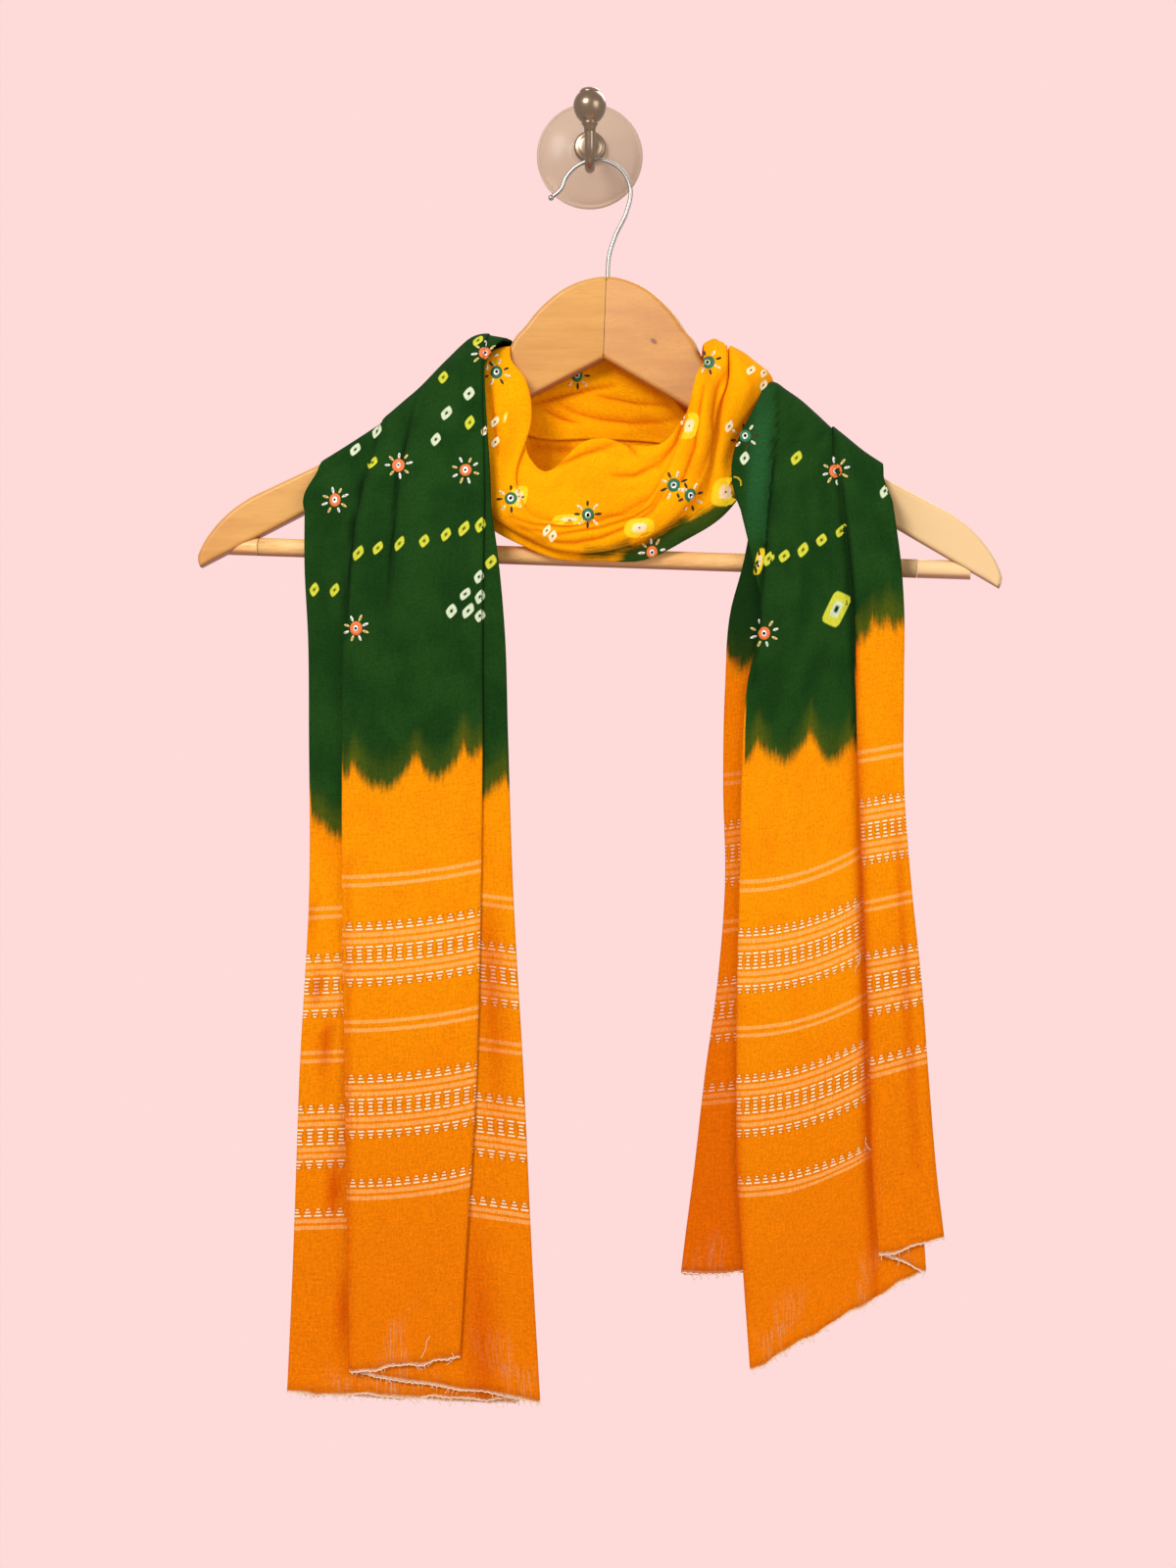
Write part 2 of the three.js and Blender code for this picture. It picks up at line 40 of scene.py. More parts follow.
CUT_WIDTH = 457
CLOTH = 0.6
CREST_PITCH = 0.9  # from layer to layer over an arm
HANG_PITCH = 2.2  # from layer to layer where a tail hangs
BACK_PITCH = 1.6  # from layer to layer behind the hanger's neck
CREST_LIFT = 1.3  # from an arm to the cowl's innermost layer
STEADY = -300  # height above which all the folds of a tail hang level
LOBE_DEPTH = 16  # of the green dye's dipped edge
LOBE_SHARE = 0.65  # of a narrow lobe's width that it hangs down

# ---------- the hanger's and the hook's sizes ----------

HANGER = (8.2, -45, -122)
ROLL = math.radians(2.1)
YAW = math.radians(8)
BOW = math.radians(5)
ARM_THICKNESS = 12
ARM_ROUND = 2.5
ARM_DOME = 44.8
SHOULDER_ALONG = 54.5
SHOULDER_Z = 0.4
SHOULDER_FALL = 0.63


def table(columns, rows):
    """Rows of numbers under named columns, as one array for each column."""
    return dict(zip(columns.split(), np.array(rows, float).T))


# Each tail: how many points its layers have, its folds from side to side, the places across where it
# hangs y0 and y1 from the wall, the folds' places at each height, and each fold's own hem. The woven
# bands are shifted at each fold ("straighten", and "raised" by their height) and bowed within a layer.
# "dye" is the green dye's edge on each layer. "front", "crest" and "lift" lay the folds over the arm,
# and "swell" moves them aside on the way there.
LEFT_TAIL = {
    "finer": [38, 8, 20, 8, 8],
    "folds": ["selvedge", "panelLeft", "right", "left", "innerRight", "end"],
    "sides": (-150, -50),
    "rows": table(
        "z selvedge panelLeft right left innerRight end y0 y1",
        [
            [-694, -72, -131, -27, -166, -40, -145, -50, -62],
            [-624, -68, -132, -31, -163, -42, -145, -50, -62],
            [-517, -61.5, -133.5, -36, -159, -45, -145, -50, -62],
            [-410, -59, -135, -42, -153.5, -50, -145, -49, -64],
            [-329, -58, -135, -44.5, -154, -52, -145, -49, -69],
            [-275, -58, -134, -46, -154.5, -54, -145, -49, -73],
            [-235, -57.5, -131, -49.5, -156.5, -57, -145, -48.5, -74.5],
            [-206, -57, -126.5, -53.5, -156.5, -61, -145, -47.5, -74],
        ],
    ),
    "hem": [-668, -677, -691, -690, -693, -690],
    "straighten": [0, 0, -2.7, 4.6, 0, 0],
    "bow": {0: 8},
    "dye": {
        0: [(-137, -352), (-129, -344), (-94, -340), (-68.5, -333), (-59, -338)],
        1: [
            (-136, -345), (-118, -340), (-80, -349), (-63, -359), (-55, -360), (-49, -357),
            (-44, -348), (-38, -346),
        ],
        2: [
            (-162, -364), (-154, -371), (-147, -377), (-138, -380), (-128, -380), (-84, -362),
            (-40, -350),
        ],
        3: [(-160, -352), (-120, -350), (-90, -362), (-50, -352)],
        4: [(-150, -356), (-110, -350), (-50, -354)],
    },
    "front": [-58.5, -117, -57.5, -150, -61, -140],
    "crest": [-55, -112, -43, -147, -49, -138],
    "lift": [
        (-150, 0.6), (-135, 0.8), (-125, 1.2), (-114, 2), (-103, 4.5), (-92.5, 7.2), (-87, 9.5),
        (-81.7, 11.8), (-76.3, 13.8), (-70.9, 15.8), (-65.6, 17), (-60.2, 15.9), (-54.8, 13),
        (-49.4, 9), (-43, 3.6),
    ],
    "swell": [0, 0, 0, -3, 0, 0],
}

RIGHT_TAIL = {
    "finer": [12, 8, 38, 8, 12, 8],
    "folds": ["edge", "front", "right", "left", "innerRight", "innerLeft", "end"],
    "sides": (80, 170),
    "rows": table(
        "z edge front right left innerRight innerLeft end y0 y1",
        [
            [-670, 189, 156, 180, 86, 176, 44, 150, -82, -93],
            [-597, 187.5, 153, 177, 81, 172, 52, 150, -82, -93],
            [-566, 184, 150.5, 174, 79, 169, 56, 150, -82, -93],
            [-513, 179.5, 149, 170, 78.5, 165, 62, 150, -82, -93],
            [-461, 175.5, 147, 167, 79, 161, 69, 150, -82, -93],
            [-408, 170, 145, 163, 80.5, 157, 73, 150, -82, -93],
            [-356, 166.5, 143, 160, 81.5, 153, 72, 150, -82, -93],
            [-303, 166.5, 141.5, 159, 84.5, 153, 73, 150, -82, -93],
            [-262, 166.5, 139, 159, 92, 153, 76, 150, -83, -93],
            [-240, 165, 137.5, 158, 88, 153, 82, 150, -83, -93],
            [-209, 161, 134, 154, 81, 150, 88, 146, -81, -92],
        ],
    ),
    "hem": [-597, -606, -614, -670, -612, -620, -618],
    "shaded": 3,  # layers after this number hang in the others' shade
    "straighten": [7.6, 3.3, 34.3, 8.3, 0, 0, 0],
    "bow": {2: 30},
    "raised": table(
        "v edge front right left innerRight innerLeft end",
        [
            [0, 0, 0, 0, 0, 0, 0, 0],
            [96, 7.8, 3.4, 10, 7.8, 0, -1.8, 0],
            [135, 4.5, 2.5, 9.6, 5.9, 0, -1.8, 0],
            [168, 3, 2, 9.2, 4.6, 0, -1, 0],
            [190, 0.8, -0.8, 2, 0.8, 0, 0, 0],
            [215, 0, 0, 0, 0, 0, 0, 0],
        ],
    ),
    "dye": {
        0: [(134, -286), (143, -278), (150, -269), (158, -266), (166, -270), (174, -276)],
        1: [(134, -286), (148, -290), (164, -300)],
        2: [(78, -340), (90, -331), (118, -327), (139, -332), (162, -318)],
        3: [(76, -300), (104, -306), (132, -300), (162, -318)],
        4: [(70, -278), (92, -284), (126, -296), (160, -306)],
        5: [(70, -278), (110, -286), (152, -296)],
    },
    "front": [157, 131, 153, 92, 150, 95, 145],
    "crest": [157, 131, 153, 97, 149, 101, 144],
    "lift": [
        (94, 5.5), (98, 8), (101, 9.2), (105.5, 8.8), (114, 8.2), (122, 6.2), (130, 3.9),
        (138, 2.4), (146, 0.9), (160, 0.6),
    ],
    "swell": [0, 0, 0, -9, 0, -5, 0],
}

COWL_FOLDS = ["lip", "turn", "edge", "lower", "tuck", "outer", "end"]
COWL_DEPTHS = [3, 4, 5, 2, 1, 0]
COWL_FINER = [42, 6, 32, 8, 36, 6]
PER_TURN = 5  # points round each fold
EDGES = ("inner", "outer")  # of a swag
# "squeeze" is how tightly the crest's layers are drawn down to the arm, place by place.
COWL_LEFT = dict(
    inner=-44, outer=-77, pitch=1.15, at=[0.14, 0.66, 0, 0.76, 0.12, 1, 0.2],
    squeeze=[(-80, 1), (-60, 1), (-53, 0.9), (-48, 0.65), (-43, 0.25)],
)
COWL_RIGHT = dict(
    inner=62, outer=100, pitch=2.9, at=[0.1, 0.28, 0, 0.32, 0.14, 1, 0.2],
    squeeze=[
        (61, 0.4), (63.3, 0.57), (67.6, 0.87), (72, 0.98), (73, 1.06), (74.2, 1.42), (75, 3.2),
        (75.9, 4.55), (76.6, 4.7), (78, 4.75), (80.5, 4.8), (84.7, 4.85), (89, 4.65), (93.3, 4.6),
        (97.6, 4.6), (100, 4.2),
    ],
)
COWL = table(
    "innerX innerZ outerX outerZ y pitch lip turn edge lower tuck outer end",
    [
        [-35, -136, -77, -166, -51, 1.9, 0.2, 0.66, 0, 0.78, 0.16, 1, 0.2],
        [-31, -158, -71, -192, -54, 2.0, 0.14, 0.7, 0.03, 0.82, 0.28, 1, 0.3],
        [-25, -169, -57, -214, -58.5, 2.2, 0.23, 0.78, 0.48, 0.89, 0.4, 1, 0.42],
        [-15, -168, -37, -226, -64.5, 2.4, 0.32, 0.85, 0.74, 0.93, 0.36, 1, 0.38],
        [-3, -165, -16, -234, -68.5, 2.4, 0.1, 0.86, 0.72, 0.94, 0.28, 1, 0.3],
        [8, -164, 5, -235, -70.5, 2.4, 0.08, 0.86, 0.69, 0.94, 0.26, 1, 0.28],
        [22, -163, 28, -235, -73.5, 2.4, 0.15, 0.78, 0.64, 0.86, 0.3, 1, 0.33],
        [36, -158, 52, -224, -76, 2.3, 0.22, 0.68, 0.42, 0.79, 0.35, 1, 0.38],
        [47, -150, 72, -211, -76, 2.2, 0.14, 0.52, 0.17, 0.63, 0.24, 1, 0.27],
        [57, -135, 87, -188, -75, 2.3, 0.12, 0.3, 0.02, 0.38, 0.16, 1, 0.2],
    ],
)

BACK_LEFT = {
    "tail": LEFT_TAIL,
    "finer": [12, 8, 12, 8, 8],
    "stations": 26,
    "end": dict(
        inner=62, outer=97, pitch=1.4, at=[0.02, 0.4, 0, 1, 0.1, 0.8], squeeze=[(60, 1), (100, 1)]
    ),
    "rows": table(
        "innerX innerZ outerX outerZ y",
        [
            [-32, -122, -118, -193, -21],
            [-12, -110, -72, -196, -20],
            [8, -105, -22, -189, -20],
            [28, -104, 22, -180, -21],
            [44, -112, 54, -158, -27],
            [57, -133, 80, -158, -41],
        ],
    ),
    "across": [0.13, 0.55, 0.02, 1, 0.08, 0.8],
}
BACK_RIGHT = {
    "tail": RIGHT_TAIL,
    "finer": [10, 6, 8, 6, 14, 40],
    "stations": 62,
    "end": dict(
        inner=-47.5, outer=-77, pitch=1.2, at=[0.84, 0.46, 0.88, 0.02, 0.86, 0.08, 0.8],
        squeeze=[(-80, 1), (-54, 1), (-46, 0.5)],
    ),
    "rows": table(
        "innerX innerZ outerX outerZ y",
        [
            [86, -166, 128, -200, -42],
            [62, -160, 86, -194, -38],
            [38, -132, 50, -186, -37],
            [8, -116, 5, -188, -37],
            [-22, -118, -39, -184, -35],
        ],
    ),
    "across": [0.92, 0.55, 0.93, 0.02, 0.95, 0.06, 0.68],
}


# ---------- curves and grids ----------


def hermite(p0, p1, m0, m1, t):
    t2, t3 = t * t, t * t * t
    return (
        (2 * t3 - 3 * t2 + 1) * p0
        + (t3 - 2 * t2 + t) * m0
        + (3 * t2 - 2 * t3) * p1
        + (t3 - t2) * m1
    )


def rise(value, start, end):
    """0 up to the start, 1 from the end on, and in proportion between them."""
    return np.clip((value - start) / (end - start), 0, 1)


def distances(path):
    """How far along a path each of its points is."""
    return np.concatenate([[0], np.cumsum(np.linalg.norm(np.diff(path, axis=0), axis=1))])


def smooth(at, ruler, values):
    """Values ruled by an increasing or decreasing column, read smoothly at many places."""
    at, ruler, values = np.asarray(at, float), np.asarray(ruler, float), np.asarray(values, float)
    if ruler[0] > ruler[-1]:
        ruler, values = ruler[::-1], values[::-1]
    at = np.clip(at, ruler[0], ruler[-1])
    slopes = np.gradient(values, ruler, axis=0)
    i = np.clip(np.searchsorted(ruler, at) - 1, 0, len(ruler) - 2)
    h = ruler[i + 1] - ruler[i]
    t = (at - ruler[i]) / h
    wide = (...,) + (None,) * (values.ndim - 1)
    return hermite(
        values[i], values[i + 1], slopes[i] * h[wide], slopes[i + 1] * h[wide], t[wide]
    )


def evenly(path, count):
    """A path drawn smoothly through its points, as so many even steps."""
    along = distances(path)
    return smooth(np.linspace(0, along[-1], count), along, path)


def resample(grid, count):
    """A grid of control stations, drawn smoothly through as many stations as asked for."""
    steps = np.linalg.norm(np.diff(grid, axis=0), axis=2).mean(axis=1)
    along = np.concatenate([[0], np.cumsum(steps)])
    return smooth(np.linspace(0, along[-1], count), along, grid)


def folded(places, depths, pitch, finer, bow=0.1):
    """The folded line across each station: its layers lie at whole depths and turn round at folds.

    places is stations by folds, and finer is how many points each layer has. Gives place and
    depth, stations by points, and how much each point belongs to each fold, points by folds.
    """
    stations, folds = places.shape
    pitch = np.broadcast_to(np.asarray(pitch, float), stations)

    def turn_at(i):
        """Which way a fold points, and how far its turn stands out."""
        away = np.sign(places[:, i] - places[:, i - 1])
        return away, pitch / 2 * abs(depths[i] - depths[i - 1])

    edges = places.copy()  # of the flat layers, short of the turns
    for i in range(1, folds - 1):
        away, radius = turn_at(i)
        edges[:, i] -= away * radius
    xs, ds, weights = [], [], []
    for i in range(folds - 1):
        if i > 0:
            away, radius = turn_at(i)
            middle, half = (depths[i] + depths[i - 1]) / 2, (depths[i] - depths[i - 1]) / 2
            for swing in np.radians(np.linspace(-90, 90, PER_TURN + 2)[1:-1]):
                xs.append(edges[:, i] + away * radius * math.cos(swing))
                ds.append(np.full(stations, middle + half * math.sin(swing)))
                weights.append(np.eye(folds)[i])
        for t in np.linspace(0, 1, finer[i]):
            xs.append(edges[:, i] + (edges[:, i + 1] - edges[:, i]) * t)
            ds.append(np.full(stations, depths[i] + bow * math.sin(math.pi * t) ** 0.7))
            weights.append((1 - t) * np.eye(folds)[i] + t * np.eye(folds)[i + 1])
    return np.array(xs).T, np.array(ds).T, np.array(weights)


def layer_of(depths, finer):
    """Depth of the layer that each point of a folded line belongs to, halves at the turns."""
    line = []
    for i, depth in enumerate(depths):
        if i > 0:
            line += [(depth + depths[i - 1]) / 2] * PER_TURN
        line += [depth] * finer[i]
    return np.array(line, float)


def accordion(folds):
    """The depths of layers that lie each behind the one before, down to 0."""
    return list(range(len(folds) - 2, -1, -1))


def arch(t):
    """0 at both ends and 1 in the middle."""
    return np.sin(np.pi * np.clip(t, 0, 1))


def lobes(x, peaks):
    """The height of the dipped edge, which hangs in rounded lobes between its peaks."""
    at, up = np.array(peaks, float).T
    i = np.clip(np.searchsorted(at, x) - 1, 0, len(at) - 2)
    wide = at[i + 1] - at[i]
    t = np.clip((x - at[i]) / wide, 0, 1)
    hang = np.minimum(LOBE_SHARE * wide, LOBE_DEPTH) * arch(t) ** 0.75
    return up[i] + (up[i + 1] - up[i]) * t - hang


def near_line(x, z, line):
    """Distance from points to a line of (x, z) places, and how far along it each is, 0 to 1."""
    best = np.full(np.shape(x), 1e9)
    along = np.zeros(np.shape(x))
    places = np.array(line, float)
    lengths = np.linalg.norm(np.diff(places, axis=0), axis=1)
    total = lengths.sum()
    done = 0.0
    for a, b, length in zip(places[:-1], places[1:], lengths):
        t = np.clip(((x - a[0]) * (b[0] - a[0]) + (z - a[1]) * (b[1] - a[1])) / length**2, 0, 1)
        gap = np.hypot(x - a[0] - t * (b[0] - a[0]), z - a[1] - t * (b[1] - a[1]))
        closer = gap < best
        best = np.where(closer, gap, best)
        along = np.where(closer, (done + t * length) / total, along)
        done += length
    return best, along


def faded(along):
    """1 along most of a line, and less towards its ends."""
    return arch(0.12 + 0.76 * along) ** 0.7


def creased(x, z, creases):
    """How far forward soft ridges (up) and troughs (down) push the cloth, fading at their ends,
    and how deep in the bottom of a trough each point is, 0 to 1, which sets the painted shade there."""
    push, deep = np.zeros(np.shape(x)), np.zeros(np.shape(x))
    for up, width, line in creases:
        gap, along = near_line(x, z, line)
        fade = faded(along)
        push += up * np.exp(-((gap / width) ** 2)) * fade
        if up < 0:
            deep = np.maximum(deep, np.exp(-((gap / (0.45 * width)) ** 2)) * fade * min(-up, 1))
    return push, deep


# ---------- the cloth's places ----------

TURNS = np.linspace(0, 1, 13)  # of a tail over its arm, from in front to behind
COWL_TURNS = np.linspace(0, 1, 7)
HANG_STATIONS = 72
DROP_STATIONS = 12
COWL_STATIONS = 130
SQUARE = 4  # how squarely the cloth turns over an arm
DROP_PULL = np.array([0.15, 0.95, 1.0])  # how strongly a tail keeps its way under the arm: x, y, z
CREST_EASE = (1.0, 0.65)  # turns where a cowl's crest starts to be drawn down and is wholly so


def shoulder(x):
    """The mid-plane's y and the top edge's z of an arm, at a place across."""
    away = x - HANGER[0]
    forward = np.where(away < 0, BOW - YAW, BOW + YAW)
    along = np.abs(away) / np.cos(forward)
    top = SHOULDER_Z - SHOULDER_FALL * (along - SHOULDER_ALONG)
    y = HANGER[1] - np.tan(forward) * np.abs(away)
    return y, HANGER[2] + top - away * math.sin(ROLL)


def over_arm(x, turn, lift):
    """A point on the cloth where it passes over an arm: turn 0 is in front, 1 behind."""
    y, z = shoulder(x)
    reach = ARM_ROUND + lift
    angle = np.pi * turn
    flat = np.tanh(np.cos(angle) * SQUARE) / np.tanh(SQUARE) * (ARM_THICKNESS / 2 - ARM_ROUND)
    across = flat + np.cos(angle) * reach
    return np.stack(
        np.broadcast_arrays(x, y - across, z - ARM_ROUND + np.sin(angle) * reach), axis=-1
    )


def tail_crossing(spec, turns):
    """The tail's folded lines where it crosses its arm, from front to back."""
    turns = np.asarray(turns, float)[:, None]
    front, crest = np.array(spec["front"]), np.array(spec["crest"])
    places = front + (crest - front) * np.clip(turns * 2, 0, 1)
    x, depth, _ = folded(places, accordion(spec["folds"]), CREST_PITCH, spec["finer"])
    lift = smooth(x, *np.array(spec["lift"]).T)
    return over_arm(x, turns, lift + depth * CREST_PITCH)


def tail_grid(spec):
    """The whole tail, stations from the hem up over the arm by points across."""
    rows, folds = spec["rows"], spec["folds"]
    lowest, highest = rows["z"][0], rows["z"][-1]
    heights = np.linspace(lowest, highest, HANG_STATIONS)[:, None]
    hem = np.array(spec["hem"], float)
    stretched = STEADY + (heights - STEADY) * (hem - STEADY) / (lowest - STEADY)
    fold_z = np.where(heights >= STEADY, heights, stretched)
    places = np.stack(
        [smooth(fold_z[:, i], rows["z"], rows[fold]) for i, fold in enumerate(folds)], axis=1
    )
    x, depth, weights = folded(places, accordion(folds), HANG_PITCH, spec["finer"])
    z = fold_z @ weights.T
    t = (x - spec["sides"][0]) / (spec["sides"][1] - spec["sides"][0])
    y0, y1 = smooth(z, rows["z"], rows["y0"]), smooth(z, rows["z"], rows["y1"])
    hang = np.stack([x, y0 + (y1 - y0) * t - depth * HANG_PITCH, z], axis=-1)
    over = tail_crossing(spec, TURNS)
    bottom, top = hang[-1], over[0]
    pull = (top - bottom) * DROP_PULL
    swell = (weights @ np.array(spec["swell"], float))[:, None] * np.array([1.0, 0, 0])
    drop = [
        hermite(bottom, top, pull, pull, part) + swell * arch(part)
        for part in np.linspace(0, 1, DROP_STATIONS + 2)[1:-1]
    ]
    return np.concatenate([hang, np.array(drop), over]), weights


def guided(inner, outer, stack, places, depths, pitch, finer, bow=0.1, squeeze=None, ease=1.0):
    """Folded lines between inner and outer guide points, stacked along a direction.

    squeeze draws the layers together place by place, and ease is how much of it each line takes.
    """
    width = np.linalg.norm(outer - inner, axis=-1)
    place, depth, _ = folded(places * width[:, None], depths, pitch, finer, bow)
    part = (place / width[:, None])[..., None]
    lift = (depth * np.broadcast_to(pitch, len(width))[:, None])[..., None]
    along = inner[:, None] + (outer - inner)[:, None] * part
    if squeeze is not None:
        drawn = smooth(along[..., :1], *np.array(squeeze).T) - 1
        lift = lift * (1 + drawn * np.reshape(ease, (-1, 1, 1)))
    return along + stack[:, None] * lift


def guides(rows):
    """The inner and the outer guide points of a swag."""
    return [np.stack([rows[edge + "X"], rows["y"], rows[edge + "Z"]], axis=-1) for edge in EDGES]


def crest_crossing(crest, depths, finer, turns):
    """The folded lines of one end of the cowl, or of what goes on from it, over an arm."""
    turns = np.asarray(turns, float)
    angle = np.pi * turns
    ones = np.ones(len(turns))
    inner = over_arm(crest["inner"] * ones, turns, CREST_LIFT)
    outer = over_arm(crest["outer"] * ones, turns, CREST_LIFT)
    stack = np.stack([0 * ones, -np.cos(angle), np.sin(angle)], axis=-1)
    places = np.array([crest["at"]] * len(turns))
    ease = rise(turns, *CREST_EASE)
    return guided(
        inner, outer, stack, places, depths, crest["pitch"], finer, 0.1, crest["squeeze"], ease
    )


def cowl_grid():
    """The cowl, stations from its left crest round the front to its right crest."""
    left = crest_crossing(COWL_LEFT, COWL_DEPTHS, COWL_FINER, COWL_TURNS)[::-1]
    right = crest_crossing(COWL_RIGHT, COWL_DEPTHS, COWL_FINER, COWL_TURNS)
    inner, outer = guides(COWL)
    to_front = np.broadcast_to([0.0, -1.0, 0.0], inner.shape)
    places = np.stack([COWL[fold] for fold in COWL_FOLDS], axis=1)
    middle = guided(inner, outer, to_front, places, COWL_DEPTHS, COWL["pitch"], COWL_FINER, 0.7)
    return resample(np.concatenate([left, middle, right]), COWL_STATIONS)


def back_grid(spec):
    """A stretch behind the hanger's neck, from its tail's crest to one of the cowl's."""
    depths = accordion(spec["tail"]["folds"])
    below = np.array([0, 0, -CLOTH / 2])
    start = tail_crossing({**spec["tail"], "finer": spec["finer"]}, [0.9, 1.0]) + below
    inner, outer = guides(spec["rows"])
    to_wall = np.broadcast_to([0.0, 1.0, 0.0], inner.shape)
    places = np.array([spec["across"]] * len(inner))
    middle = guided(inner, outer, to_wall, places, depths, BACK_PITCH, spec["finer"])
    end = crest_crossing(spec["end"], depths, spec["finer"], [1.0, 0.9]) + below
    return resample(np.concatenate([start, middle, end]), spec["stations"])


# ---------- meshes ----------


def add_object(name, data):
    piece = bpy.data.objects.new(name, data)
    bpy.context.scene.collection.objects.link(piece)
    return piece


def tube_faces(rings, sides, ends=True):
    """Faces between rings that have as many points each, and over both ends."""
    faces = []
    for i in range(rings - 1):
        for j in range(sides):
            a, b = i * sides + j, i * sides + (j + 1) % sides
            faces.append([a, b, b + sides, a + sides])
    if ends:
        faces.append(list(range(sides))[::-1])
        faces.append([(rings - 1) * sides + j for j in range(sides)])
    return faces


def joined(*parts):
    """Several sets of points and faces as one."""
    points, faces = np.empty((0, 3)), []
    for more, its_faces in parts:
        faces += [[i + len(points) for i in face] for face in its_faces]
        points = np.concatenate([points, more])
    return points, faces


def normals_of(grid):
    along = np.gradient(grid, axis=0)
    across = np.gradient(grid, axis=1)
    normal = np.cross(across, along)
    return normal / np.maximum(np.linalg.norm(normal, axis=2, keepdims=True), 1e-9)


def put(mesh, name, kind, values):
    layer = mesh.attributes.new(name, kind, "POINT")
    key = {"FLOAT": "value", "FLOAT_COLOR": "color"}[kind]
    layer.data.foreach_set(key, np.asarray(values, np.float32).ravel())


def make_mesh(name, points, faces, look, uv=None, dye=None, tint=None):
    """A piece from points in millimetres, with the cloth's own coordinates on it."""
    mesh = bpy.data.meshes.new(name)
    corners = [list(map(int, face)) for face in faces]
    mesh.from_pydata((np.asarray(points, float) * MM).tolist(), [], corners)
    mesh.polygons.foreach_set("use_smooth", np.ones(len(mesh.polygons), bool))
    if uv is not None:
        layer = mesh.uv_layers.new(name="cloth")
        at = np.zeros(len(mesh.loops), np.int32)
        mesh.loops.foreach_get("vertex_index", at)
        layer.data.foreach_set("uv", (np.asarray(uv, float) * MM)[at].astype(np.float32).ravel())
        put(mesh, "dye", "FLOAT", dye)
        put(mesh, "tint", "FLOAT_COLOR", tint)
    mesh.materials.append(look)
    mesh.update()
    return add_object(name, mesh)


def shell(grid, v, u, dye):
    """A closed thin wall of cloth on a grid of centre points: points, faces, uv and dye."""
    stations, across = grid.shape[:2]
    normal = normals_of(grid) * CLOTH / 2
    points = np.concatenate([(grid + normal).reshape(-1, 3), (grid - normal).reshape(-1, 3)])
    index = np.arange(stations * across).reshape(stations, across)
    a, b, c, d = index[:-1, :-1], index[:-1, 1:], index[1:, 1:], index[1:, :-1]
    front = np.stack([a, b, c, d], axis=-1).reshape(-1, 4)
    rear = front[:, ::-1] + stations * across
    rim = np.concatenate([index[0, :], index[1:, -1], index[-1, -2::-1], index[-2::-1, 0]])
    over = rim + stations * across
    edge = np.stack([rim[1:], rim[:-1], over[:-1], over[1:]], axis=-1)
    uv = np.stack([np.broadcast_to(u, v.shape).ravel(), v.ravel()], axis=-1)
    faces = np.concatenate([front, rear, edge])
    return points, faces, np.concatenate([uv, uv]), np.concatenate([dye.ravel(), dye.ravel()])


class Pile:
    """Points and faces gathered into one piece."""

    def __init__(self):
        self.points, self.faces, self.uv, self.dye, self.tint = [], [], [], [], []

    def add(self, points, faces, uv, dye, tint):
        self.faces += [[int(i) + len(self.points) for i in face] for face in faces]
        self.points += list(points)
        self.uv += list(uv)
        self.dye += list(dye)
        self.tint += list(tint)

    def piece(self, name, look):
        return make_mesh(name, self.points, self.faces, look, self.uv, self.dye, self.tint)


def cloth_coordinates(grid, start=0.0):
    """Millimetres across and along the flat cloth, for each point."""
    u = distances(grid[len(grid) // 3])
    u = u * CUT_WIDTH / u[-1]
    steps = np.linalg.norm(np.diff(grid, axis=0), axis=2)
    v = start + np.concatenate([np.zeros((1, grid.shape[1])), np.cumsum(steps, axis=0)])
    return u, v


# ---------- shading ----------


def rgb(red, green, blue):
    """A colour as it is seen, 0 to 255, in the linear values that a shader takes."""
    parts = [part / 255 for part in (red, green, blue)]
    return [p / 12.92 if p <= 0.04045 else ((p + 0.055) / 1.055) ** 2.4 for p in parts] + [1.0]


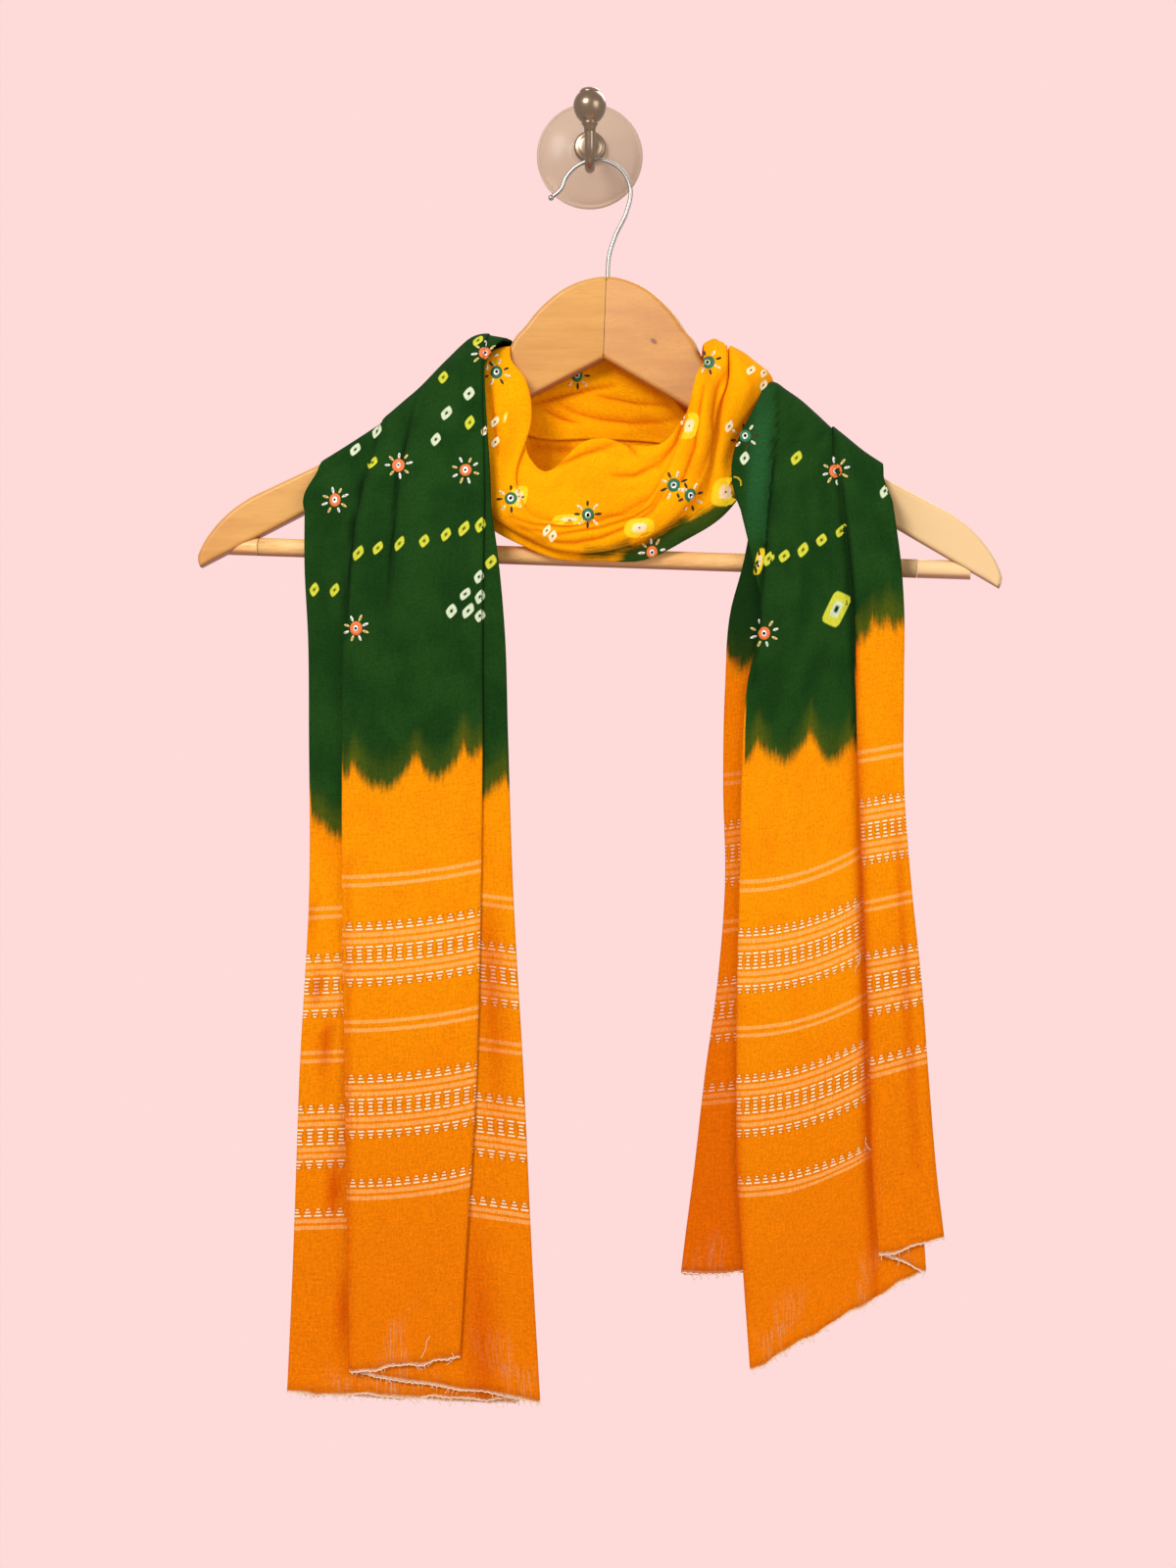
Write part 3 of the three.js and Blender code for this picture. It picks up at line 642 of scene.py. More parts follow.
class Graph:
    """A material's node tree, built up a node at a time."""

    def __init__(self, name):
        self.material = bpy.data.materials.new(name)
        self.material.use_nodes = True
        self.tree = self.material.node_tree
        self.shader = self.tree.nodes["Principled BSDF"]

    def feed(self, socket, value):
        if isinstance(value, bpy.types.NodeSocket):
            self.tree.links.new(value, socket)
        elif value is not None:
            socket.default_value = value

    def add(self, kind, *inputs, **settings):
        node = self.tree.nodes.new(kind)
        for key, value in settings.items():
            setattr(node, key, value)
        for socket, value in zip(node.inputs, inputs):
            self.feed(socket, value)
        return node

    def math(self, operation, a, b=None, c=None):
        return self.add("ShaderNodeMath", a, b, c, operation=operation).outputs[0]

    def times(self, a, b):
        return self.math("MULTIPLY", a, b)

    def plus(self, a, b):
        return self.math("ADD", a, b)

    def apart(self, a, b):
        """How far two values are apart."""
        return self.math("ABSOLUTE", self.math("SUBTRACT", a, b))

    def jittered(self, value, noise, reach):
        """A value moved up and down by a noise."""
        return self.plus(value, self.times(self.math("SUBTRACT", noise, 0.5), reach))

    def attribute(self, name):
        return self.add("ShaderNodeAttribute", attribute_name=name).outputs

    def mapped(self, where, kind="POINT", **settings):
        node = self.add("ShaderNodeMapping", where, vector_type=kind)
        for name, value in settings.items():
            node.inputs[name].default_value = value
        return node.outputs[0]

    def ramp(self, value, low, high, to_low=0.0, to_high=1.0):
        """A smooth step from one value to another."""
        node = self.add("ShaderNodeMapRange", value, low, high, to_low, to_high)
        node.interpolation_type = "SMOOTHSTEP"
        return node.outputs[0]

    def blend(self, part, a, b, mode="MIX"):
        node = self.add("ShaderNodeMix", data_type="RGBA", blend_type=mode)
        self.feed(node.inputs[0], part)
        self.feed(node.inputs[6], a)
        self.feed(node.inputs[7], b)
        return node.outputs[2]

    def noise(self, where, scale, detail=2.0, roughness=0.5):
        node = self.add("ShaderNodeTexNoise")
        self.feed(node.inputs["Vector"], where)
        self.feed(node.inputs["Scale"], scale)
        self.feed(node.inputs["Detail"], detail)
        self.feed(node.inputs["Roughness"], roughness)
        return node.outputs[0]

    def grains(self, u, v, across, along, detail=2.0, roughness=0.5):
        """Noise whose grains are so many millimetres across and along the cloth."""
        where = self.add(
            "ShaderNodeCombineXYZ", self.math("DIVIDE", u, across), self.math("DIVIDE", v, along), 0.0
        )
        return self.noise(where.outputs[0], 1.0, detail, roughness)

    def toned(self, colour, shade):
        """A colour made lighter or darker all over."""
        grey = self.add("ShaderNodeCombineXYZ", shade, shade, shade).outputs[0]
        return self.blend(1.0, colour, grey, "MULTIPLY")

    def bump(self, height, distance, strength=1.0):
        node = self.add("ShaderNodeBump")
        self.feed(node.inputs["Strength"], strength)
        self.feed(node.inputs["Distance"], distance)
        self.feed(node.inputs["Height"], height)
        self.feed(self.shader.inputs["Normal"], node.outputs[0])

    def set(self, **values):
        for name, value in values.items():
            self.feed(self.shader.inputs[name.replace("_", " ")], value)


# One woven band from its middle outwards: millimetres out, and how much of each column the thread
# floats over there. 0 is plain cloth and 1 is a stripe.
BAND_ROWS = [
    (0.0, 0.48), (0.4, 0.0), (1.55, 0.54), (2.35, 0.0), (3.45, 0.76), (4.35, 0.0),
    (5.8, 1.0), (8.0, 0.0), (9.5, 1.0), (11.7, 0.0), (13.1, 0.76), (13.95, 0.0),
    (15.0, 0.54), (15.75, 0.0), (16.7, 0.36), (17.3, 0.0),
]
DASH_ZONES = ((2.3, 2.4), (15.3, 2.5))  # middle and half height of the rows of dashes
BAND_REACH = 20
BAND_MIDDLES = (228, 145)
HALF_BAND_MIDDLE = 88
HALF_BAND_FROM = 5  # above its middle, where the lowest band's upper half starts
COLUMN_PITCH = 5.0
STRIPE_SHARE = 0.9  # a row that floats over more than this is a stripe
DOUBLE_STRIPES = (268, 189)
DOUBLE_STRIPE_GAP = 2.3
FAR = 99.0
DYE_WAVER = 9.0  # how far the dipped edge wavers, and how long its streaks are
DYE_STREAKS = 13.0

GREEN = rgb(30, 66, 22)
DEEP_GREEN = rgb(22, 56, 18)
BRIGHT_ORANGE = rgb(255, 168, 3)
ORANGE = rgb(240, 144, 3)
LOW_ORANGE = rgb(226, 116, 2)
DEEP_ORANGE = rgb(236, 122, 2)
BLEED = rgb(104, 104, 8)
# Colour of the painted shadow between the dashes.
PAINTED_DASH_SHADOW = rgb(186, 96, 4)
CREAM = rgb(255, 240, 205)
WORN = rgb(205, 168, 130)
RAW_EDGE = rgb(255, 226, 190)
PEACH = rgb(255, 196, 120)


def dip_dyed(g, u, v, above):
    """The orange ground and the green dipped ends, which meet in a streaked edge."""
    cloudy = g.grains(u, v, 22.0, 30.0, 3.0)
    streaks = g.grains(u, v, 1.6, 12.0, 3.0, 0.65)
    wavy = g.grains(u, v, 11.0, 60.0, 1.5)
    edge = g.jittered(g.jittered(above, wavy, DYE_WAVER), streaks, DYE_STREAKS)
    bled = g.ramp(g.math("SUBTRACT", edge, g.times(wavy, 30.0)), 6.0, -16.0)
    orange = g.blend(g.ramp(v, 10.0, 300.0), LOW_ORANGE, ORANGE)
    orange = g.blend(g.ramp(v, 420.0, 560.0), orange, BRIGHT_ORANGE)
    orange = g.blend(g.ramp(cloudy, 0.4, 0.75, 0.0, 0.4), orange, DEEP_ORANGE)
    green = g.blend(g.ramp(cloudy, 0.35, 0.7), GREEN, DEEP_GREEN)
    green = g.blend(g.times(bled, 0.22), green, BLEED)
    return g.blend(g.ramp(edge, -4.8, 5.6), orange, green)


def band_rows(g, v, warp):
    """How much of each column the thread floats over, from the nearest band's middle outwards."""
    upper = g.math("SUBTRACT", v, HALF_BAND_MIDDLE)
    low_half = g.times(g.math("LESS_THAN", upper, HALF_BAND_FROM), FAR)
    nearest = g.math("MINIMUM", *[g.apart(v, middle) for middle in BAND_MIDDLES])
    out = g.math("MINIMUM", nearest, g.plus(g.math("ABSOLUTE", upper), low_half))
    out = g.jittered(out, warp, 0.4)
    rows = g.add("ShaderNodeValToRGB", g.math("DIVIDE", out, BAND_REACH))
    rows.color_ramp.interpolation = "CONSTANT"
    steps = rows.color_ramp.elements
    while len(steps) < len(BAND_ROWS):
        steps.new(0.5)
    for step, (place, share) in zip(steps, BAND_ROWS):
        step.position = place / BAND_REACH
        step.color = (share, share, share, 1.0)
    return out, rows.outputs[0]


def with_bands(g, u, v, colour, weft, warp, grain):
    """The rows of dashes and the stripes near each end, and where the dashes' thread floats."""
    out, share = band_rows(g, v, warp)
    column = g.math("PINGPONG", g.plus(u, g.times(grain, 0.7)), COLUMN_PITCH / 2)
    column = g.math("DIVIDE", column, COLUMN_PITCH / 2)
    zones = [g.math("COMPARE", out, *zone) for zone in DASH_ZONES]
    # Painted shadow in the gaps between the dashes, within the rows of dashes.
    dash_shadow = g.times(g.math("MAXIMUM", *zones), g.ramp(column, 0.85, 0.65))
    near = g.math("MINIMUM", *[g.apart(v, place) for place in DOUBLE_STRIPES])
    near = g.jittered(g.apart(near, DOUBLE_STRIPE_GAP), warp, 0.8)
    stripe = g.math("MAXIMUM", g.math("GREATER_THAN", share, STRIPE_SHARE), g.ramp(near, 1.3, 0.8))
    stripe = g.times(stripe, g.ramp(warp, 0.2, 0.62, 0.45, 0.95))
    dashes = g.ramp(g.math("SUBTRACT", share, column), 0.02, 0.1)
    dashes = g.times(dashes, g.math("LESS_THAN", share, STRIPE_SHARE))
    dashes = g.times(dashes, g.ramp(weft, 0.18, 0.55, 0.6, 1.0))
    colour = g.blend(g.times(dash_shadow, 0.4), colour, PAINTED_DASH_SHADOW)
    colour = g.blend(g.times(stripe, 0.5), colour, PEACH)
    return g.blend(g.times(dashes, 0.88), colour, CREAM), dashes


def with_raw_end(g, u, v, colour, grain):
    """The end of the cloth, bleached and fuzzy, with worn streaks above it."""
    hem = g.ramp(g.plus(v, g.times(grain, 2.4)), 3.0, 1.6)
    worn = g.ramp(g.grains(u, v, 0.9, 18.0, 2.0, 0.6), 0.46, 0.66)
    patchy = g.ramp(g.grains(u, v, 26.0, 60.0), 0.48, 0.62)
    worn = g.times(g.times(worn, patchy), g.ramp(v, 42.0, 12.0))
    colour = g.blend(g.times(worn, 0.45), colour, WORN)
    return g.blend(g.times(hem, 0.75), colour, RAW_EDGE)


def wool():
    """Dyed plain-weave wool, from the cloth's own coordinates: U across it and V from its hem."""
    g = Graph("wool")
    place = g.add("ShaderNodeSeparateXYZ", g.add("ShaderNodeUVMap", uv_map="cloth").outputs[0])
    u, v = [g.times(place.outputs[i], 1 / MM) for i in (0, 1)]
    weft = g.grains(u, v, 9.0, 0.55, 3.0, 0.65)
    warp = g.grains(u, v, 0.5, 11.0, 3.0, 0.65)
    grain = g.grains(u, v, 0.8, 0.8, 2.0, 0.7)
    fleck = g.grains(u, v, 1.3, 1.7, 2.0, 0.6)
    colour = dip_dyed(g, u, v, g.attribute("dye")["Fac"])
    colour, dashes = with_bands(g, u, v, colour, weft, warp, grain)
    colour = with_raw_end(g, u, v, colour, grain)
    tint = g.attribute("tint")  # tied spots, olive dye, painted shade in creases, painted light
    colour = g.blend(tint["Alpha"], colour, tint["Color"])
    threads = g.plus(g.times(weft, 0.5), g.times(warp, 0.5))
    mixed = g.plus(g.times(threads, 0.6), g.times(fleck, 0.4))
    colour = g.toned(colour, g.ramp(mixed, 0.32, 0.68, 0.74, 1.2))
    g.set(Base_Color=colour, Roughness=0.95, Sheen_Weight=0.015, Sheen_Roughness=0.5)
    g.set(Specular_IOR_Level=0.03)
    height = g.plus(g.times(threads, 0.6), g.times(grain, 0.4))
    g.bump(g.plus(height, g.times(dashes, 0.5)), 0.35 * MM, 0.6)
    return g.material


PALER_FROM = (90 * MM, 190 * MM)  # places across where the paler end starts and is whole
KNOT = rgb(128, 70, 44)
# Colour of the painted shade on faces that look down.
PAINTED_UNDERSIDE_SHADE = rgb(150, 88, 66)
RIGHT_ARM_KNOT = dict(
    Location=(35 * MM, -57 * MM, -114 * MM),
    Rotation=(0, math.radians(38), 0),
    Scale=(2.6 * MM, 8 * MM, 1.5 * MM),
)
WOOD_GRAIN = (7.0, 130.0, 130.0)
WOOD_PORES = (60.0, 1500.0, 1500.0)


def knotted(g, where, fine, colour, dark, knot):
    """A knot, with the grain swirling round it."""
    inside = g.mapped(where, "TEXTURE", **knot)
    gap = g.add("ShaderNodeVectorMath", inside, operation="LENGTH").outputs["Value"]
    gap = g.jittered(gap, fine, 0.6)
    rings = g.math("ABSOLUTE", g.math("SINE", g.times(gap, 4.0)))
    swirl = g.times(g.ramp(gap, 3.6, 0.6), g.ramp(rings, 0.2, 1.0, 0.1, 0.45))
    colour = g.blend(swirl, colour, dark)
    return g.blend(g.ramp(gap, 1.1, 0.5, 0.0, 0.85), colour, KNOT)


def wood(name, light, dark, knot=None, paler=None):
    """Straight-grained wood with its grain along X, with painted shade underneath, and perhaps one
    knot.
    """
    g = Graph(name)
    where = g.add("ShaderNodeTexCoord").outputs["Object"]
    grain = g.noise(g.mapped(where, Scale=WOOD_GRAIN), 1.0, 4.0, 0.65)
    fine = g.noise(g.mapped(where, Scale=WOOD_PORES), 1.0, 2.0, 0.6)
    part = g.plus(g.times(grain, 0.6), g.times(g.noise(where, 14.0, 2.0), 0.4))
    colour = g.blend(g.ramp(part, 0.38, 0.7, 0.0, 0.8), light, dark)
    colour = g.blend(g.ramp(fine, 0.5, 0.72, 0.0, 0.5), colour, dark)
    if paler is not None:
        across = g.add("ShaderNodeSeparateXYZ", where).outputs[0]
        colour = g.blend(g.ramp(across, *PALER_FROM, 0.0, 0.8), colour, paler)
    if knot is not None:
        colour = knotted(g, where, fine, colour, dark, knot)
    # Painted shade on the faces that look down.
    facing = g.add("ShaderNodeSeparateXYZ", g.add("ShaderNodeNewGeometry").outputs["Normal"])
    colour = g.blend(g.ramp(facing.outputs[2], -0.35, -0.8, 0.0, 0.8), colour, PAINTED_UNDERSIDE_SHADE)
    g.set(Base_Color=colour, Roughness=0.42, Specular_IOR_Level=0.35, Coat_Weight=0.15)
    g.set(Coat_Roughness=0.3)
    g.bump(fine, 0.1 * MM, 0.3)
    return g.material


def plain(name, colour, roughness, metallic=0.0, **more):
    g = Graph(name)
    g.set(Base_Color=colour, Roughness=roughness, Metallic=metallic, **more)
    return g.material


# ---------- build ----------

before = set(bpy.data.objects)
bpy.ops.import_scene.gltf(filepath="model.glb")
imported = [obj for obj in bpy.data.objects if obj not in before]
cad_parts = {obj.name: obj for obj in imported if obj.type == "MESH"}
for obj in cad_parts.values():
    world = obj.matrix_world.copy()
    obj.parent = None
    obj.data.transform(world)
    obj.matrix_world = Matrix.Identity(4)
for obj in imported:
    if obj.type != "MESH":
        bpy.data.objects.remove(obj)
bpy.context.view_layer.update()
WOOL = wool()


def rides(piece, slot, *nodes):
    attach(piece, "root")
    if nodes:
        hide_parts(*nodes)
    return piece


# Soft ridges (up) and troughs of the left tail: how far forward, how wide, and the line in x and z.
LEFT_CREASES = [
    (-2.0, 3.0, [(-95, -143), (-98, -156), (-101, -171), (-105, -191), (-107, -222), (-109, -256)]),
    (-1.0, 2.6, [(-115, -160), (-122.7, -185), (-128, -212), (-131, -240), (-133, -275)]),
    (0.9, 8.0, [(-84, -150), (-92, -190), (-97, -240), (-99, -300)]),
    (-1.2, 3.6, [(-153, -425), (-150, -459), (-148, -474), (-144, -495), (-142, -558), (-136, -630),
                 (-132, -692)]),
    (0.8, 12.0, [(-75, -420), (-76, -520), (-80, -660)]),
    (-1.5, 9.0, [(-54, -425), (-54, -500), (-55, -560), (-57, -620), (-58, -700)]),
    (-0.5, 5.0, [(-132, -400), (-132, -520), (-131, -680)]),
]
RIGHT_CREASES = [
    (-2.0, 2.8, [(101, -140), (100, -165), (97.5, -191), (94, -230), (90, -264), (88, -300)]),
    (-1.0, 2.6, [(130, -165), (132.5, -178), (135.5, -209), (139.5, -250), (141.5, -285),
                 (142, -340)]),
    (0.8, 8.0, [(112, -170), (118, -240), (121, -330)]),
    (-1.6, 6.0, [(142, -320), (144, -400), (146, -460), (148, -540), (150, -590), (152, -632)]),
    (0.8, 9.0, [(106, -420), (107, -520), (104, -640)]),
    (-0.6, 5.0, [(163, -380), (167, -460), (173, -560)]),
    (-0.8, 5.0, [(79, -290), (77, -400), (77, -520), (83, -640)]),
]


# Colours of the painted shade in the cloth's creases and on its hidden layers.
CREASE_SHADE_GREEN = rgb(6, 24, 6)
CREASE_SHADE_ORANGE = rgb(200, 72, 0)


def shaded(part, dye, olive=0.0):
    """Painted shade where the cloth turns in and on hidden layers: red-brown on the orange and almost
    black on green, and olive dye where the orange has crept up into the green."""
    part, olive = np.broadcast_arrays(part, olive)
    colour = np.where((dye > 0)[..., None], CREASE_SHADE_GREEN[:3], CREASE_SHADE_ORANGE[:3])
    colour = np.where((olive > part)[..., None], BLEED[:3], colour)
    return np.concatenate([colour, np.maximum(part, olive)[..., None]], axis=-1)


# Where the cloth leans to the light: how strong, how wide, and the line in x and z.
LIT_GREEN = rgb(40, 98, 56)
RIGHT_LIT = [(0.5, 5.5, [(95, -146), (92, -165), (90, -190), (88, -222)])]


def lit(tint, x, z, places):
    for strength, width, line in places:
        gap, along = near_line(x, z, line)
        part = strength * np.exp(-((gap / width) ** 4)) * faded(along)
        more = part > tint[..., 3]
        green = np.tile(LIT_GREEN[:3], (more.sum(), 1))
        tint[more] = np.concatenate([green, part[more][:, None]], 1)
    return tint


SWAY_FROM = (-190, -310)  # heights where a tail's gentle sway starts and is whole
CREASED_FROM = (-130, -170)  # the same for its creases
SWAY_MIDDLE = -260
SHIFT_FROM = 80  # up the cloth, where the woven bands are shifted in full
CREEP_WIDTH = 6  # of the olive where the orange crept up into the green, and its height
CREEP_HEIGHT = 20
RAGGED = 0.7  # how unevenly the raw end is cut
RAGGED_REACH = 9


def forward(grid, push):
    grid[..., 1] -= push


def along_bands(spec, weights, v):
    """How far up the cloth each point is, with the woven bands shifted to where they hang."""
    slant = weights @ np.array(spec["straighten"], float)
    for layer, bow in spec["bow"].items():
        slant = slant + bow * weights[:, layer] * weights[:, layer + 1]
    v = v + slant * rise(v, 0, SHIFT_FROM)
    if "raised" in spec:
        raised = [np.interp(v, spec["raised"]["v"], spec["raised"][fold]) for fold in spec["folds"]]
        v = v - sum(weights[:, i] * shift for i, shift in enumerate(raised))
    return v


def dipped(spec, x, z, number):
    """How far above its layer's dyed edge each point is, and how olive it is there."""
    dye, olive = np.zeros(x.shape), np.zeros(x.shape)
    for layer, peaks in spec["dye"].items():
        above = z - lobes(x, peaks)
        aside = np.min([abs(x - peak) for peak, _ in peaks], axis=0)
        crept = np.exp(-((aside / CREEP_WIDTH) ** 2)) * rise(above, 0, 3) * rise(above, CREEP_HEIGHT, 0)
        dye = np.where(number == layer, above, dye)
        olive = np.where(number == layer, 0.45 * crept, olive)
    return dye, olive


def build_tail(spec, creases, sway, lights=()):
    grid, weights = tail_grid(spec)
    x, z = grid[..., 0].copy(), grid[..., 2].copy()
    turn = (z - SWAY_MIDDLE) / sway["every"] * 2 * np.pi + (x - sway["x"]) / sway["twist"]
    forward(grid, np.sin(turn) * sway["up"] * rise(z, *SWAY_FROM))
    layers = range(len(spec["folds"]) - 1)
    front = np.clip(layer_of(accordion(spec["folds"]), spec["finer"]) / 2, 0.25, 1.0)
    low = rise(z, *CREASED_FROM)
    push, deep = creased(x, z, creases)
    forward(grid, push * front * low)
    u, v = cloth_coordinates(grid)
    v = along_bands(spec, weights, v)
    number = np.ceil(layer_of(layers, spec["finer"]))
    dye, olive = dipped(spec, x, z, number)
    behind = 0.5 * (number > spec.get("shaded", len(layers)))
    ragged = np.sin(u / 5.1) + 0.6 * np.sin(u / 2.3 + 1.3)
    grid[..., 2] += RAGGED * ragged * rise(v, RAGGED_REACH, 0)
    # Painted shade along the troughs and over the layers that hang behind the others.
    tint = shaded(np.maximum(deep * front * low * 0.9, behind), dye, olive)
    return grid, u, v, dye, lit(tint, x, z, lights)


# Ridges and troughs of the cowl's front strip and its pouch, and of the band behind the neck.
COWL_CREASES = [
    (-2.0, 2.6, [(-37, -222), (-25, -225), (-8, -226), (6, -223.5), (20, -218), (33, -210),
                 (41, -197)]),
    (-1.8, 2.2, [(-39, -217), (-17, -221.5), (6, -218), (23, -213), (33, -207), (38, -198)]),
    (-1.4, 2.2, [(-44, -211), (-30, -216), (-12, -217.5), (4, -214.5), (18, -210), (30, -203)]),
    (-2.4, 3.0, [(76, -128), (71.5, -137), (68, -143.5), (65.5, -159), (66, -169), (65, -174.5),
                 (59, -191)]),
    (-1.6, 2.4, [(66, -172), (65, -184), (63, -199)]),
    (-2.0, 2.6, [(53.5, -150), (49, -165), (46, -173), (36, -186)]),
    (-1.5, 2.4, [(61, -143), (58, -160), (56, -176), (50, -192), (40, -203)]),
    (1.6, 5.0, [(72, -150), (71, -170), (66, -190), (56, -206)]),
    (-1.6, 2.6, [(9, -166), (20.5, -173.5), (25, -179)]),
    (-1.8, 3.0, [(-19, -184), (-12, -181.5), (-4, -178), (8, -174.5), (14, -172)]),
    (1.6, 6.0, [(-20, -200), (0, -200), (20, -196)]),
    (-1.0, 3.0, [(-54, -140), (-52, -160), (-50, -176)]),
    (-1.2, 3.0, [(12, -190), (24, -190), (36, -184)]),
    (-11.0, 7.0, [(104, -133), (98, -141), (92, -151), (84, -166), (80, -180)]),
]
NECK_CREASES = [
    (-2.4, 2.4, [(-38, -147.5), (-30, -145), (-21.7, -142.8), (1, -137), (14, -135)]),
    (-2.0, 2.2, [(-24, -149), (-16.8, -152.6), (-7, -156)]),
    (-2.4, 2.4, [(-15, -146), (-7, -150.2), (4.4, -153.4), (23.9, -155.8), (40, -155), (53, -152)]),
    (-2.0, 2.4, [(10, -122), (18, -125.5), (27, -129.8), (37, -137)]),
    (-1.4, 2.0, [(6, -141), (26, -145), (44, -146)]),
    (1.4, 4.0, [(-30, -144), (-8, -137), (14, -133)]),
    (1.2, 4.5, [(-10, -158), (14, -161), (40, -156)]),
    (-1.6, 2.2, [(-33, -168), (-18, -169), (-3, -171.5)]),
    (-1.6, 2.2, [(-33, -174), (-20, -178), (-12, -177)]),
]
GREEN_PATCHES = [
    (8.5, [(52, -221), (41, -227), (31, -233), (23, -236)]),
    (6.0, [(84, -202), (68, -212), (52, -221)]),
    (3.0, [(-2, -230), (8, -231), (20, -227)]),
]
PATCH_STEEPNESS = 1.5  # the tied patches have a firmer edge than the dipped ends
COWL_CREASED_FROM = (-124, -136)  # heights where the cowl's creases start and are whole
ALL_CREASED_FROM = (66, 74)  # places across from which its inner layers are creased too
COWL_START = 700  # up the cloth from its hem, where the cowl starts
BACK_LEFT_START = 600
BACK_RIGHT_START = 560
BACK_LEFT_GREEN = -72  # places across where each stretch behind the neck turns green, further out
BACK_RIGHT_GREEN = 88
NO_GREEN = -80.0


def build_cowl():
    grid = cowl_grid()
    x, z = grid[..., 0].copy(), grid[..., 2].copy()
    layer = layer_of(COWL_DEPTHS, COWL_FINER)
    shown = np.clip(layer / 3 + rise(x, *ALL_CREASED_FROM), 0.3, 1.0) * rise(z, *COWL_CREASED_FROM)
    push, deep = creased(x, z, COWL_CREASES)
    forward(grid, push * shown)
    u, v = cloth_coordinates(grid, COWL_START)
    dye = np.full(x.shape, NO_GREEN)
    behind = np.where(layer <= 2, 1.0, 0.45)
    for width, line in GREEN_PATCHES:
        gap, _ = near_line(x, z, line)
        dye = np.maximum(dye, PATCH_STEEPNESS * (width * behind - gap))
    # Painted shade along the bottoms of the troughs.
    return grid, u, v, dye, shaded(deep * shown * 0.75, dye)


def build_back(spec, creases, start, greener):
    grid = back_grid(spec)
    x, z = grid[..., 0].copy(), grid[..., 2].copy()
    middle = arch(np.linspace(0, 1, len(grid)))[:, None]
    push, deep = creased(x, z, creases)
    forward(grid, push * np.clip(middle * 1.6, 0, 1))
    u, v = cloth_coordinates(grid, start)
    # Painted shade along the bottoms of the troughs.
    return grid, u, v, greener(x), shaded(deep * 0.8, greener(x))


def build_shawl():
    left = build_tail(LEFT_TAIL, LEFT_CREASES, dict(every=310, x=-100, twist=70, up=1.6))
    swing = dict(every=270, x=130, twist=-60, up=1.4)
    right = build_tail(RIGHT_TAIL, RIGHT_CREASES, swing, RIGHT_LIT)
    cowl = build_cowl()
    back_left = build_back(BACK_LEFT, [], BACK_LEFT_START, lambda x: BACK_LEFT_GREEN - x)
    back_right = build_back(
        BACK_RIGHT, NECK_CREASES, BACK_RIGHT_START, lambda x: x - BACK_RIGHT_GREEN
    )
    cloth = Pile()
    for grid, u, v, dye, tint in (left, right, cowl, back_left, back_right):
        points, faces, uv, dyes = shell(grid, v, u, dye)
        tints = tint.reshape(-1, 4)
        cloth.add(points, faces, uv, dyes, np.concatenate([tints, tints]))
    return cloth, [left[0][0], right[0][0]]


# ---------- tied spots, mirror work and loose threads ----------

DARK_GREEN = rgb(16, 44, 14)
BROWN = rgb(120, 84, 30)
SPOT_LIFT = 0.12  # of a tied spot's own face off the cloth
STEP_AWAY = (1.2, 0.9)  # how far the cloth may step away within a spot: at its middle, and per mm out
LOOK_FROM = 200  # how far in front of the cloth or behind it its places are looked up from


class Surface:
    """The shawl's outside, looked up from in front of it or from behind it."""

    def __init__(self, cloth):
        self.points, self.faces = np.array(cloth.points), np.array(cloth.faces)
        self.uv, self.dye = np.array(cloth.uv), np.array(cloth.dye)
        self.tree = BVHTree.FromPolygons(self.points.tolist(), self.faces.tolist())

    def at(self, x, z, behind=False):
        """A place on the cloth with its normal, its U and V, and its dye."""
        way = -1 if behind else 1
        eye = Vector((x, -way * LOOK_FROM, z))
        place, normal, face, _ = self.tree.ray_cast(eye, Vector((0, way, 0)))
        if face is None:
            return None
        corners = self.faces[face]
        shares = np.array(poly_3d_calc([Vector(self.points[c]) for c in corners], place))
        if normal.y * way > 0:
            normal = -normal
        uv, dye = shares @ self.uv[corners], shares @ self.dye[corners]
        return np.array(place), np.array(normal), uv, dye


def patch(surface, pile, x, z, half, rings, sides=16, behind=False, turn=0.0, lean=0.0, power=2.0):
    """A small spot or stitch laid on the cloth.

    half is its half width and half height, and rings gives, from its middle outwards, how far out
    each ring is, how high it stands off the cloth and its colour. Where the cloth ends or steps
    away, the spot ends too.
    """
    middle = surface.at(x, z, behind)
    if middle is None:
        return
    hits, lifts, tints = [], [], []
    for out, up, colour in rings:
        for angle in np.linspace(0, 2 * np.pi, sides, endpoint=False):
            c, s = math.cos(angle), math.sin(angle)
            reach = out / (abs(c) ** power + abs(s) ** power) ** (1 / power)
            a, b = half[0] * reach * c, half[1] * reach * s
            a += lean * b
            a, b = a * math.cos(turn) - b * math.sin(turn), a * math.sin(turn) + b * math.cos(turn)
            hit = surface.at(x + a, z + b, behind)
            step = STEP_AWAY[0] + STEP_AWAY[1] * math.hypot(a, b)
            if hit is not None and abs(hit[0][1] - middle[0][1]) > step:
                hit = None
            hits.append(hit)
            lifts.append(up)
            tints.append(colour)
    faces = tube_faces(len(rings), sides, ends=False) + [list(range(sides))]
    faces = [face for face in faces if all(hits[corner] is not None for corner in face)]
    used = sorted({corner for face in faces for corner in face})
    number = {corner: i for i, corner in enumerate(used)}
    pile.add(
        [hits[i][0] + hits[i][1] * lifts[i] for i in used],
        [[number[corner] for corner in face] for face in faces],
        [hits[i][2] for i in used],
        [hits[i][3] for i in used],
        [tints[i] for i in used],
    )


def dyed_rings(*steps):
    """Rings of a tied spot, from rows of how far out, the colour there and how strong it is."""
    return [(out, SPOT_LIFT, [*colour[:3], strength]) for out, colour, strength in steps]


